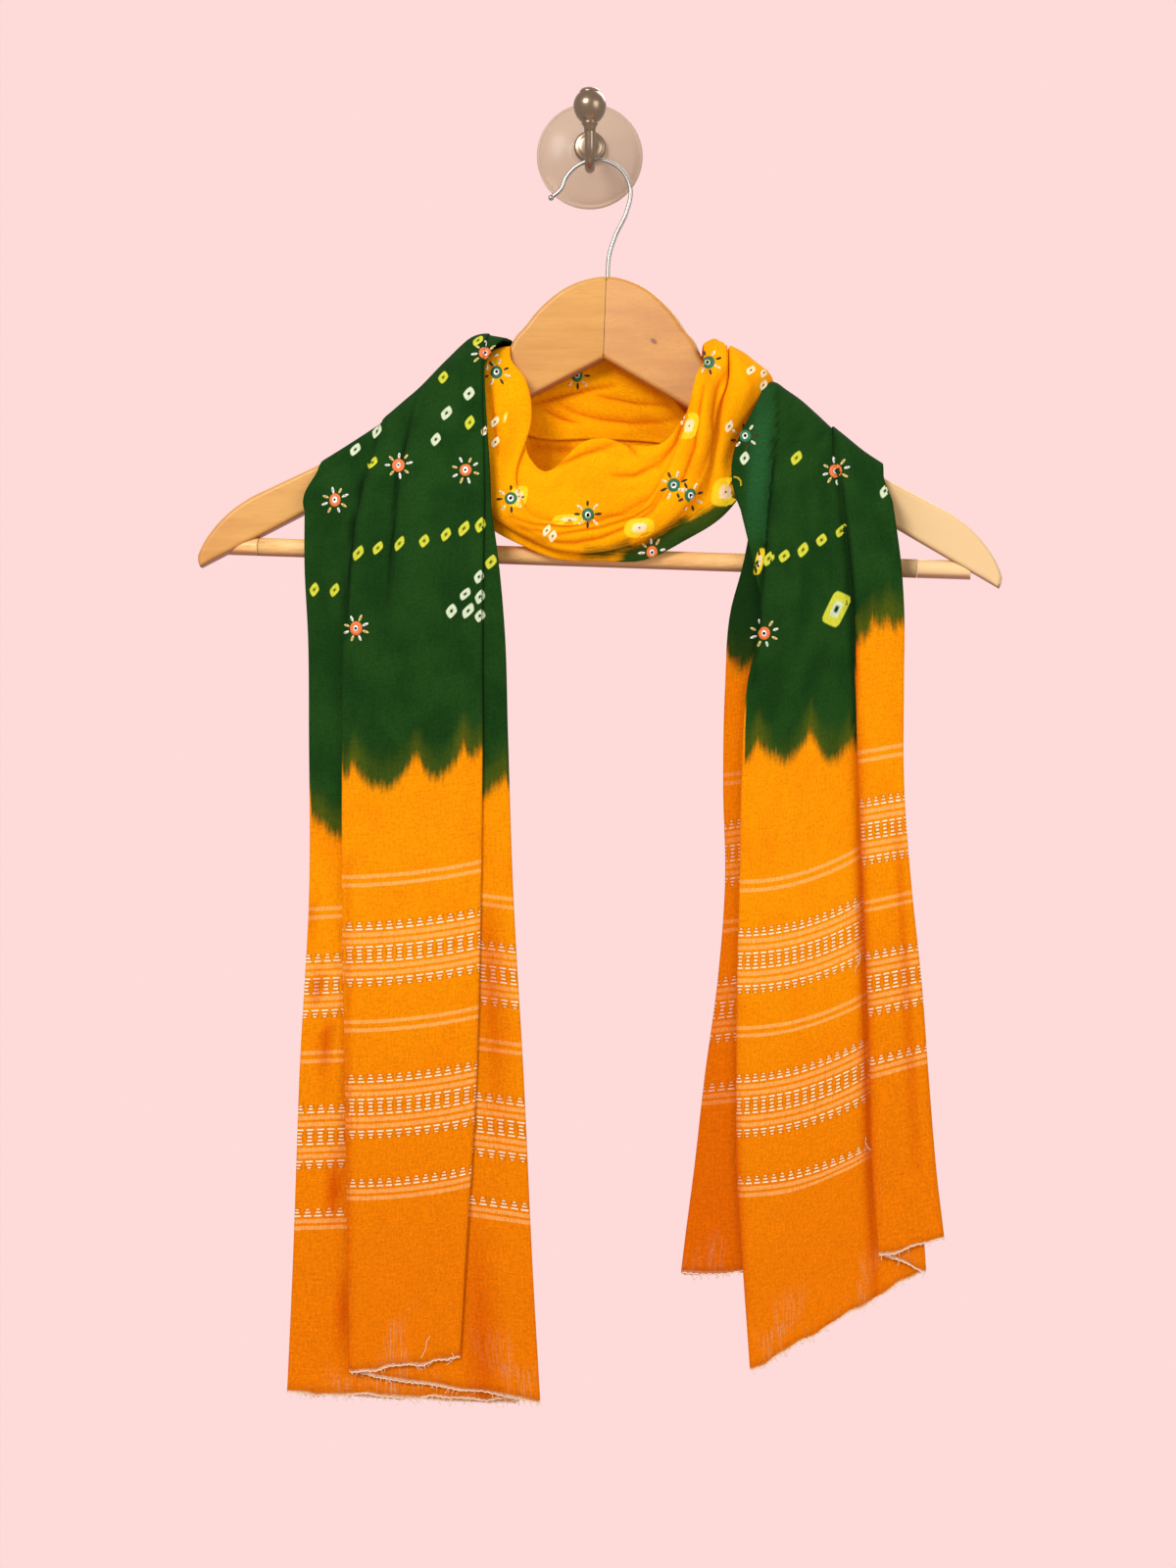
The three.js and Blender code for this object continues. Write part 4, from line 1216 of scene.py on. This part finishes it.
SPOT_COLOURS = {
    "white": (rgb(212, 226, 190), DARK_GREEN),
    "yellow": (rgb(208, 210, 62), rgb(88, 108, 18)),
    "cream": (rgb(255, 236, 190), BROWN),
}
PATCH_YELLOW = rgb(255, 216, 40)
PATCH_CREAM = rgb(255, 232, 190)
PATCH_RINGS = dyed_rings(
    (0.04, BROWN, 0.5), (0.1, PATCH_CREAM, 0.8), (0.36, PATCH_CREAM, 0.85),
    (0.52, PATCH_YELLOW, 0.8), (0.88, PATCH_YELLOW, 0.75), (1.0, PATCH_YELLOW, 0.0),
)


def tied_spot(surface, pile, x, z, colour, half=(3.2, 4.3), lean=0.35, behind=False):
    pale, dark = SPOT_COLOURS[colour]
    rings = dyed_rings(
        (0.06, dark, 0.95), (0.17, dark, 0.85), (0.32, pale, 0.75), (0.5, pale, 0.97),
        (0.82, pale, 0.97), (1.0, pale, 0.0),
    )
    patch(surface, pile, x, z, half, rings, behind=behind, lean=lean, power=1.35)


def stitches(*colour):
    return [*rgb(*colour)[:3], 1.0]


WHITE_THREAD = stitches(244, 246, 238)
GOLD_THREAD = stitches(232, 206, 130)
ORANGE_THREAD = stitches(238, 120, 48)
GREEN_THREAD = stitches(18, 112, 66)
DARK_THREAD = stitches(58, 40, 14)
CREAM_THREAD = stitches(255, 238, 200)
HEM_THREAD = stitches(255, 224, 190)
SUNS = {
    "on_green": dict(surround=ORANGE_THREAD, rays=(WHITE_THREAD, GOLD_THREAD), glass=1.3),
    "on_orange": dict(surround=GREEN_THREAD, rays=(DARK_THREAD, CREAM_THREAD), glass=1.6),
}


# Rings of a sun's stitches and of its mirror: how far out each is, and how high it stands.
MIRROR_STITCHES = ((0.25, 0.25), (0.42, 0.5), (0.62, 0.8), (0.85, 0.6), (1, 0.05))
MIRROR = ((0.5, 0.62), (1.0, 0.58))
RAY = ((0.2, 0.5), (0.7, 0.38), (1, 0.02))
RAYS = 8


def worked_in(rings, colour):
    return [(out, up, colour) for out, up in rings]


def sun(surface, threads, glass, x, z, kind, rng, behind=False):
    """A small mirror held down by a ring of stitches, with short stitches round it."""
    made = SUNS[kind]
    half = (rng.uniform(3.0, 3.6), rng.uniform(3.3, 3.9))
    ring = worked_in(MIRROR_STITCHES, made["surround"])
    patch(surface, threads, x, z, half, ring, behind=behind, sides=20)
    half = (made["glass"], made["glass"] * 1.25)
    patch(surface, glass, x, z, half, worked_in(MIRROR, WHITE_THREAD), behind=behind, sides=14)
    start = rng.uniform(0, 0.5)
    for i in range(RAYS):
        angle = start + i * 2 * math.pi / RAYS + rng.uniform(-0.12, 0.12)
        far = rng.uniform(5.5, 6.4)
        half = (rng.uniform(1.5, 2.1), 0.72)
        ray = worked_in(RAY, made["rays"][i % 2])
        at = (x + far * math.cos(angle), z + far * math.sin(angle))
        patch(surface, threads, *at, half, ray, behind=behind, turn=angle, sides=10)


def row_of(start, end, count):
    """Places evenly spaced from one place to another."""
    return [tuple(place) for place in np.linspace(start, end, count)]


# Places across and up, in front: x and z.
YELLOW_SPOTS = [
    (-126, -230.3), (-115.1, -227.8), (-103.1, -225.7), (-89.5, -224.6), (-77.6, -221.4),
    (-67.8, -218.4), (-58.9, -216.7), (-151, -249.4), (-139.6, -249.9), (-53.2, -236.6),
    (-79.9, -134.3), (-65, -160.4), (-119, -180.1), (-61, -114), (95.6, -235.6), (103.7, -234.4),
    (113.6, -231.2), (123.4, -226), (133.8, -221.2), (109.5, -145.3), (110.5, -181.6),
]
WHITE_SPOTS = [
    (-59.6, -244.6), (-67.1, -253.7), (-59.1, -255.3), (-74.6, -262.7), (-65.5, -262.7),
    (-59.1, -265.5), (-65.5, -144.4), (-77.8, -154.5), (-83.6, -168.9), (-117, -162),
    (-129, -172), (83, -181.3), (157, -200.1),
]
CREAM_SPOTS = [
    (-51.7, -158.8), (-56.5, -164.6), (-51.4, -170), (86.5, -133.7), (93.9, -134.2), (93.5, -141),
    (-23.2, -219.5), (-20, -222.5), (50, -160), (75, -163.3),
]
# The same, with half their width and height.
YELLOW_PATCHES = [
    (53.2, -164.3, 4.8, 7.5), (73.2, -198.7, 8, 8.2), (26.5, -218.7, 8.2, 5.4),
    (-38.5, -200.5, 5, 6.5), (-11, -213.5, 9.5, 3.2), (90.6, -237, 2.4, 7.5),
    (-46, -156.5, 1.2, 3.2),
]
SUNS_ON_GREEN = [
    (-139.6, -200.4), (-104.4, -182.2), (-67.1, -186.5), (-127.3, -271.2), (-57, -121.5),
    (93.2, -275.5), (131.3, -188.6), (33.5, -231),
]
SUNS_ON_ORANGE = [
    (-51, -130.8), (-42.7, -201.5), (-1, -211), (44.9, -196), (53.9, -201.5), (63.8, -128.5),
    (83.5, -169), (-7, -129.5),
]
LARGE_SPOT = (131.3, -262.9)
LARGE_HALF = (5.2, 9.6)
# The same sort of pattern behind, where no picture shows it.
YELLOW_BEHIND = [*row_of((-138, -246), (-62, -238), 7), *row_of((96, -246), (150, -238), 5)]
WHITE_BEHIND = [(-84, -196), (-76, -204), (-92, -204), (-84, -212), (128, -214), (136, -222)]
SUNS_BEHIND = [(-120, -212), (-74, -276), (-132, -296), (118, -268), (146, -226), (104, -216)]


def decorate(surface, rng):
    spots, threads, glass = Pile(), Pile(), Pile()
    shown = {"yellow": YELLOW_SPOTS, "white": WHITE_SPOTS, "cream": CREAM_SPOTS}
    for colour, places in shown.items():
        for x, z in places:
            small = 0.8 if colour == "cream" else 1.0
            half = (small * rng.uniform(2.8, 3.4), small * rng.uniform(3.7, 4.6))
            tied_spot(surface, spots, x, z, colour, half, rng.uniform(0.15, 0.5))
    for places, colour in ((YELLOW_BEHIND, "yellow"), (WHITE_BEHIND, "white")):
        for x, z in places:
            tied_spot(surface, spots, x, z, colour, lean=-rng.uniform(0.15, 0.5), behind=True)
    for x, z, wide, high in YELLOW_PATCHES:
        patch(surface, spots, x, z, (wide, high), PATCH_RINGS, power=3.2, lean=0.2, sides=20)
    yellow, white = SPOT_COLOURS["yellow"][0], SPOT_COLOURS["white"][0]
    large = dyed_rings(
        (0.05, DARK_GREEN, 0.8), (0.12, DARK_GREEN, 0.5), (0.25, white, 0.9), (0.4, white, 0.9),
        (0.5, yellow, 0.95), (0.9, yellow, 0.95), (1.0, yellow, 0.0),
    )
    patch(surface, spots, *LARGE_SPOT, LARGE_HALF, large, sides=28, turn=-0.45, power=6)
    for places, kind in ((SUNS_ON_GREEN, "on_green"), (SUNS_ON_ORANGE, "on_orange")):
        for x, z in places:
            sun(surface, threads, glass, x, z, kind, rng)
    for x, z in SUNS_BEHIND:
        sun(surface, threads, glass, x, z, "on_green", rng, behind=True)
    return spots, threads, glass


HEM_WAVE = 3.4  # from one scallop of a raw end to the next
FRAYS = 170  # loose ends along each raw end
THREAD_STEP = 0.7  # from point to point along a thread
HEM_RADIUS = 0.34
FRAY_RADIUS = 0.15
LOOSE_RADIUS = 0.17
LOOSE_LIFT = 0.4  # off the cloth
DRIFT_EVERY = 8  # along the raw end, between its uneven places


def thread(pile, path, radius, colour, sides=4):
    """A thread along a path of points."""
    points, faces = sweep(path, radius, sides)
    count = len(points)
    pile.add(points, faces, np.zeros((count, 2)), np.zeros(count), [colour] * count)


def fray(pile, hem, rng):
    """The raw end's own wavy last thread and the short ends that stand out of it."""
    along = distances(hem)
    even = np.arange(0, along[-1], THREAD_STEP)
    line = np.stack([np.interp(even, along, hem[:, i]) for i in range(3)], axis=1)
    marks = np.arange(0, along[-1] + DRIFT_EVERY + 1, DRIFT_EVERY)
    drift = np.interp(even, marks, rng.uniform(-0.5, 0.5, len(marks)))
    line[:, 2] += -0.3 + 0.55 * np.abs(np.sin(np.pi * even / HEM_WAVE + 2 * drift)) + drift
    line[:, 1] -= 0.25
    thread(pile, line, HEM_RADIUS, HEM_THREAD)
    for start in rng.integers(2, len(line) - 2, FRAYS):
        length = rng.uniform(0.8, 4.5)
        lean = rng.uniform(-0.7, 0.7)
        part = np.linspace(0, 1, 4)[:, None]
        down = np.array([lean * length, rng.uniform(-0.4, 0.4), -length * 0.8])
        curl = np.array([rng.uniform(-0.8, 0.8), 0, 0.3]) * part**2
        thread(pile, line[start] + down * part + curl, FRAY_RADIUS, HEM_THREAD, 3)


# Loose threads that lie on the front: where each starts, which way it heads and how long it is.
LOOSE_THREADS = [
    (138, -424, 0.3, 9), (141, -444, -0.4, 16), (147, -544, -1.6, 9), (-92, -668, 0.15, 14),
    (-78, -672, 0.5, 10),
]


def loose_threads(surface, pile, rng):
    for x, z, heading, length in LOOSE_THREADS:
        path = []
        for _ in range(int(length / THREAD_STEP)):
            hit = surface.at(x, z)
            if hit is None:
                break
            path.append(hit[0] + hit[1] * LOOSE_LIFT)
            heading += rng.uniform(-0.5, 0.5)
            x += THREAD_STEP * math.cos(heading)
            z += THREAD_STEP * math.sin(heading)
        if len(path) > 3:
            thread(pile, path, LOOSE_RADIUS, CREAM_THREAD)


def embroidery():
    """Twisted stitching thread, in the colour of each stitch."""
    g = Graph("embroidery")
    twist = g.noise(g.add("ShaderNodeTexCoord").outputs["Object"], 2600.0, 2.0)
    colour = g.toned(g.attribute("tint")["Color"], g.ramp(twist, 0.3, 0.7, 0.7, 1.1))
    g.set(Base_Color=colour, Roughness=0.6, Sheen_Weight=0.05)
    g.bump(twist, 0.2 * MM, 0.5)
    return g.material


def add_decoration(cloth, hems):
    rng = np.random.default_rng(SEED)
    surface = Surface(cloth)
    spots, threads, glass = decorate(surface, rng)
    for hem in hems:
        fray(threads, hem, rng)
    loose_threads(surface, threads, rng)
    mirror = plain("mirror", rgb(236, 232, 228), 0.35, 0.5)
    return [
        rides(spots.piece("shawl_tied_spots", WOOL), "shawl"),
        rides(threads.piece("shawl_threads", embroidery()), "shawl"),
        rides(glass.piece("shawl_mirrors", mirror), "shawl"),
    ]


# ---------- the hanger and the wall hook ----------


def sweep(path, radius, sides=16):
    """A round rod along a path of points, with flat ends."""
    path = np.asarray(path, float)
    ahead = np.gradient(path, axis=0)
    ahead /= np.linalg.norm(ahead, axis=1, keepdims=True)
    side = np.cross(ahead[0], [0.3, 1.0, 0.2])
    angles = np.linspace(0, 2 * np.pi, sides, endpoint=False)[:, None]
    rings = []
    for point, way in zip(path, ahead):
        side = side - way * side.dot(way)
        side /= np.linalg.norm(side)
        other = np.cross(way, side)
        rings.append(point + radius * (np.cos(angles) * side + np.sin(angles) * other))
    return np.concatenate(rings), tube_faces(len(path), sides)


def turned(profile, sides=64):
    """A lathe about Z from rows of (radius, height), starting and ending near the axis."""
    angles = np.linspace(0, 2 * np.pi, sides, endpoint=False)
    rings = []
    for radius, height in profile:
        radius = max(radius, 0.01)
        ring = [radius * np.cos(angles), radius * np.sin(angles), np.full(sides, height)]
        rings.append(np.stack(ring, axis=-1))
    return np.concatenate(rings), tube_faces(len(profile), sides)


def turn_about(points, axis, angle):
    c, s = math.cos(angle), math.sin(angle)
    x, y, z = np.asarray(points, float).T
    if axis == "X":
        return np.stack([x, y * c - z * s, y * s + z * c], axis=-1)
    if axis == "Y":
        return np.stack([x * c + z * s, y, z * c - x * s], axis=-1)
    return np.stack([x * c - y * s, x * s + y * c, z], axis=-1)


def on_hanger(points):
    return turn_about(turn_about(points, "Z", -YAW), "Y", ROLL) + np.array(HANGER)


ARM_FOOT = (-4, 2.2)  # the arm's lowest point at the joint
ARM_GAP = 0.15  # from the joint's middle to each arm


ARM_TOP = [
    (-4, ARM_DOME), (3, ARM_DOME), (13, 42.6), (22, 38.6), (32, 31), (39, 23.6), (45, 15.4),
    (48.6, 11.5), (SHOULDER_ALONG, SHOULDER_Z), (101, -29), (155.5, -63.2), (181.4, -76.5),
    (194.4, -83.4), (205, -91.5), (213, -100.4), (219, -110), (221.4, -117.7), (219.8, -122),
]


def arm(name, side, look):
    """One shaped wooden arm: its outline rounded over to both faces and mitred at the joint."""
    top = evenly(np.array(ARM_TOP, float), 90)
    bottom = np.linspace(top[-1], ARM_FOOT, 40)[1:]
    outline = np.concatenate([top, bottom])
    ahead = np.roll(outline, -1, axis=0) - outline
    ahead /= np.linalg.norm(ahead, axis=1, keepdims=True)
    inward = np.stack([ahead[:, 1], -ahead[:, 0]], axis=1)
    inward = inward + np.roll(inward, 1, axis=0)
    inward /= np.maximum(np.linalg.norm(inward, axis=1, keepdims=True), 0.6)
    rings = []
    for way, swings in ((-1, np.linspace(-90, 0, 6)), (1, np.linspace(0, 90, 6))):
        for swing in np.radians(swings):
            ring = outline + inward * ARM_ROUND * (1 - math.cos(swing))
            across = way * (ARM_THICKNESS / 2 - ARM_ROUND) + ARM_ROUND * math.sin(swing)
            rings.append(np.stack([side * ring[:, 0], np.full(len(ring), across), ring[:, 1]], -1))
    faces = tube_faces(len(rings), len(outline))
    points = turn_about(np.concatenate(rings), "Z", -side * BOW)
    if side > 0:
        faces = [face[::-1] for face in faces]
    body = bmesh.new()
    corners = [body.verts.new(point) for point in points]
    for face in faces:
        body.faces.new([corners[i] for i in face])
    bmesh.ops.bisect_plane(
        body,
        geom=body.verts[:] + body.edges[:] + body.faces[:],
        plane_co=(side * ARM_GAP, 0, 0),
        plane_no=(side, 0, 0),
        clear_inner=True,
    )
    bmesh.ops.holes_fill(body, edges=[e for e in body.edges if e.is_boundary])
    bmesh.ops.recalc_face_normals(body, faces=body.faces[:])
    mesh = bpy.data.meshes.new(name)
    for vertex in body.verts:
        vertex.co = Vector(on_hanger([vertex.co])[0] * MM)
    body.to_mesh(mesh)
    body.free()
    for polygon in mesh.polygons:
        polygon.use_smooth = len(polygon.vertices) <= 4
    mesh.materials.append(look)
    return add_object(name, mesh)


BAR_RADIUS = 5
BAR_PLACE = (-17.4, -111)  # y and z in the hanger's frame
BAR_ENDS = (-186.5, 175.3)
BAR_TILT = math.radians(0.45)
TENON_END = 204
FLUTES = 44
FLUTE_DEPTH = 0.28
BAR_RINGS = 24
BAR_GAP = 0.3  # from the bar to each tenon


def round_bar(name, start, end, look, flutes=0):
    """A round rod along the hanger, perhaps fluted. Its walls are wound inwards, unlike its ends."""
    sides = max(flutes * 3, 40)
    angles = np.linspace(0, 2 * np.pi, sides, endpoint=False)
    radius = BAR_RADIUS
    if flutes:
        radius = radius - FLUTE_DEPTH * np.abs(np.sin(angles * flutes / 2)) ** 3
    rings = [
        np.stack([np.full(sides, x), radius * np.cos(angles), radius * np.sin(angles)], axis=-1)
        for x in np.linspace(start, end, BAR_RINGS)
    ]
    points = turn_about(np.concatenate(rings), "Y", BAR_TILT) + np.array([0, *BAR_PLACE])
    *walls, near_end, far_end = tube_faces(len(rings), sides)
    faces = [wall[::-1] for wall in walls] + [near_end, far_end]
    return make_mesh(name, on_hanger(points), faces, look)


WIRE_RADIUS = 1.15
WIRE_STEM = [(0, -13.7), (0, 0), (0.2, 11.3), (3.4, 23.2), (9, 36)]
WIRE_ARC = dict(x=-8.3, z=45.7, radius=19.5, degrees=(11, 30, 50, 70, 90, 110, 130, 152))
WIRE_END = [(-28, 48.6), (-32.6, 44.6)]
WIRE_TIP = dict(x=-33.2, z=44.1, radius=1.6)


def wire_hook(look):
    angles = np.radians(WIRE_ARC["degrees"])
    across = WIRE_ARC["x"] + WIRE_ARC["radius"] * np.cos(angles)
    up = WIRE_ARC["z"] + WIRE_ARC["radius"] * np.sin(angles)
    route = WIRE_STEM + list(zip(across, up)) + WIRE_END
    path = evenly(np.array([(x, 0, ARM_DOME + z) for x, z in route], float), 120)
    r = WIRE_TIP["radius"]
    profile = [(r * math.sin(a), -r * math.cos(a)) for a in np.linspace(0, np.pi, 12)]
    ball, ball_faces = turned(profile, 20)
    ball = ball + np.array([WIRE_TIP["x"], 0, ARM_DOME + WIRE_TIP["z"]])
    points, faces = joined(sweep(path, WIRE_RADIUS), (ball, ball_faces))
    return make_mesh("wire_hook", on_hanger(points), faces, look)


PAD_RADIUS = 30
PAD_THICKNESS = 9
BOSS_RADIUS = 8.8
BOSS_Z = 2.9
BOSS_GAP = 0.3  # from the pad to the boss
ROD_START = 5.6  # in front of the pad
ROD_RADIUS = 2.8
KNOB = (-57.5, 14.6)  # y and z of the ball's middle


def facing_out(points, y, z):
    """A lathe made about Z, turned so that its height runs out from the wall."""
    return turn_about(points, "X", math.pi / 2) + np.array([0, y, z])


def pad(look):
    r = PAD_RADIUS
    profile = [
        (0, 0), (r - 0.4, 0), (r, 0.4), (r, 1.6), (r - 0.5, 2.2), (r - 1.4, 2.3), (r - 1.9, 1.9),
        (r - 2.4, 2.2), (r - 3.2, 2.9), (r - 6, 4.2), (r - 10, 5.6), (18, 6.3), (14, 7.6),
        (11.5, 8.8), (10.8, PAD_THICKNESS), (0, PAD_THICKNESS),
    ]
    points, faces = turned(profile, 96)
    return make_mesh("clear_pad", facing_out(points, 0, 0), faces, look)


def boss(look):
    r = BOSS_RADIUS
    profile = [
        (0, 0), (r - 0.2, 0), (r, 0.3), (r, 3.2), (r - 0.4, 3.9), (r - 1.2, 4.3), (r - 1.8, 4.2),
        (r - 2.4, 4.6), (r - 4.3, 5.0), (0, 5.0),
    ]
    points, faces = turned(profile, 64)
    return make_mesh("metal_boss", facing_out(points, -PAD_THICKNESS - BOSS_GAP, BOSS_Z), faces, look)


def knob_hook(look):
    start = -PAD_THICKNESS - ROD_START
    y, z = KNOB
    route = np.array([
        (0, start, BOSS_Z), (0, start - 9, BOSS_Z - 0.6), (0, start - 17, BOSS_Z - 7),
        (0, -39.5, -15), (0, -47, -16.4), (0, -53.5, -11.6), (0, -56.3, -2), (0, y, 6),
    ], float)
    profile = [
        (0, -14), (3.1, -14), (3.3, -12), (4.0, -10.4), (4.6, -9.9), (4.6, -9.3), (4.1, -8.9),
        (5.2, -8.2), (7.0, -6.2), (8.3, -3.6), (8.9, -1), (9.0, 0.6), (8.7, 2.4), (7.9, 4.4),
        (6.9, 5.9), (6.0, 6.8), (5.5, 7.1), (5.6, 7.5), (5.3, 8.3), (4.3, 9.2), (2.6, 9.7), (0, 9.8),
    ]
    ball, ball_faces = turned(profile, 48)
    rod = sweep(evenly(route, 60), ROD_RADIUS, 20)
    points, faces = joined(rod, (ball + np.array([0, y, z]), ball_faces))
    return make_mesh("metal_hook", points, faces, look)


def build_hanger_and_hook():
    left_beech = wood("left_beech", rgb(216, 160, 82), rgb(198, 134, 62))
    right_beech = wood(
        "right_beech", rgb(210, 148, 70), rgb(190, 124, 54), RIGHT_ARM_KNOT, rgb(234, 202, 150)
    )
    ribbed = wood("bar_beech", rgb(252, 202, 130), rgb(214, 152, 82), None, rgb(244, 208, 156))
    chrome = plain("bright_wire", rgb(172, 168, 160), 0.3, 1.0)
    nickel = plain("aged_nickel", rgb(150, 130, 110), 0.3, 1.0)
    clear = plain("clear_pad", rgb(212, 184, 162), 0.25, 0.0, Transmission_Weight=0.25, IOR=1.3)
    rides(arm("beech_arm_left", -1, left_beech), "hanger_wood", "hanger_arm_left")
    rides(arm("beech_arm_right", 1, right_beech), "hanger_wood", "hanger_arm_right")
    left, right = BAR_ENDS
    bars = [
        ("hanger_bar", left, right, FLUTES, "hanger_bar"),
        ("hanger_tenon_left", -TENON_END, left - BAR_GAP, 0, "hanger_wood"),
        ("hanger_tenon_right", right + BAR_GAP, TENON_END, 0, "hanger_wood"),
    ]
    for name, start, end, flutes, slot in bars:
        rides(round_bar(name.replace("hanger", "beech"), start, end, ribbed, flutes), slot, name)
    rides(wire_hook(chrome), "hanger_wire", "hanger_hook")
    rides(pad(clear), "hook_pad", "wall_pad")
    rides(boss(nickel), "hook_metal", "wall_boss")
    rides(knob_hook(nickel), "hook_metal", "wall_hook")


# ---------- surroundings ----------


FLOOR_REACH = 0.6
FLOOR_Z = -1.15
CAMERA_PLACE = (-0.001, -1.55, -0.356)
CAMERA_LENS = 62.7
SKY_SEEN = rgb(254, 218, 217)
SKY_LIGHT = rgb(255, 244, 240)
SKY_STRENGTH = 0.6
# Area lights: where each is, what it shines at, its size and its power.
LIGHTS = {
    "key": ((-0.9, -1.6, 0.7), (0, 0, -0.3), 0.7, 26),
    "fill": ((1.3, -1.4, 0.1), (0, 0, -0.35), 1.0, 9),
    "rim": ((0.5, 0.9, 0.8), (0, 0, -0.2), 0.8, 8),
}


def area_light(name, place, target, size, power):
    light = bpy.data.lights.new(name, "AREA")
    light.energy = power
    light.size = size
    lamp = add_object(name, light)
    lamp.location = place
    lamp.rotation_euler = (Vector(target) - Vector(place)).to_track_quat("-Z", "Y").to_euler()


def sky():
    """A plain pink surround, which lights the scene with a softer, whiter colour."""
    world = bpy.data.worlds.new("pink")
    world.use_nodes = True
    nodes, links = world.node_tree.nodes, world.node_tree.links
    seen = nodes["Background"]
    seen.inputs[0].default_value = SKY_SEEN
    soft = nodes.new("ShaderNodeBackground")
    soft.inputs[0].default_value = SKY_LIGHT
    soft.inputs[1].default_value = SKY_STRENGTH
    both = nodes.new("ShaderNodeMixShader")
    links.new(nodes.new("ShaderNodeLightPath").outputs["Is Camera Ray"], both.inputs[0])
    links.new(soft.outputs[0], both.inputs[1])
    links.new(seen.outputs[0], both.inputs[2])
    links.new(both.outputs[0], nodes["World Output"].inputs[0])
    bpy.context.scene.world = world
    bpy.context.scene.view_settings.view_transform = "Standard"


def surroundings():
    sky()
    corners = [(-1, -1), (1, -1), (1, 1), (-1, 1)]
    floor = bpy.data.meshes.new("floor")
    places = [(FLOOR_REACH * x, FLOOR_REACH * y, FLOOR_Z) for x, y in corners]
    floor.from_pydata(places, [], [(0, 1, 2, 3)])
    floor.materials.append(plain("pale_floor", rgb(250, 225, 222), 0.8))
    add_object("floor", floor)
    for name, settings in LIGHTS.items():
        area_light(name, *settings)
    camera = bpy.data.cameras.new("camera")
    camera.lens = CAMERA_LENS
    camera.sensor_width = 36
    camera_piece = add_object("camera", camera)
    camera_piece.location = CAMERA_PLACE
    camera_piece.rotation_euler = (math.radians(90), 0, 0)
    bpy.context.scene.camera = camera_piece


cloth, hems = build_shawl()
shawl = cloth.piece("wool_shawl", WOOL)
sewn = add_decoration(cloth, hems)
build_hanger_and_hook()
surroundings()

rides(
    shawl, "shawl", "shawl_tail_left", "shawl_tail_right", "shawl_cowl_front", "shawl_back_left",
    "shawl_back_right",
)
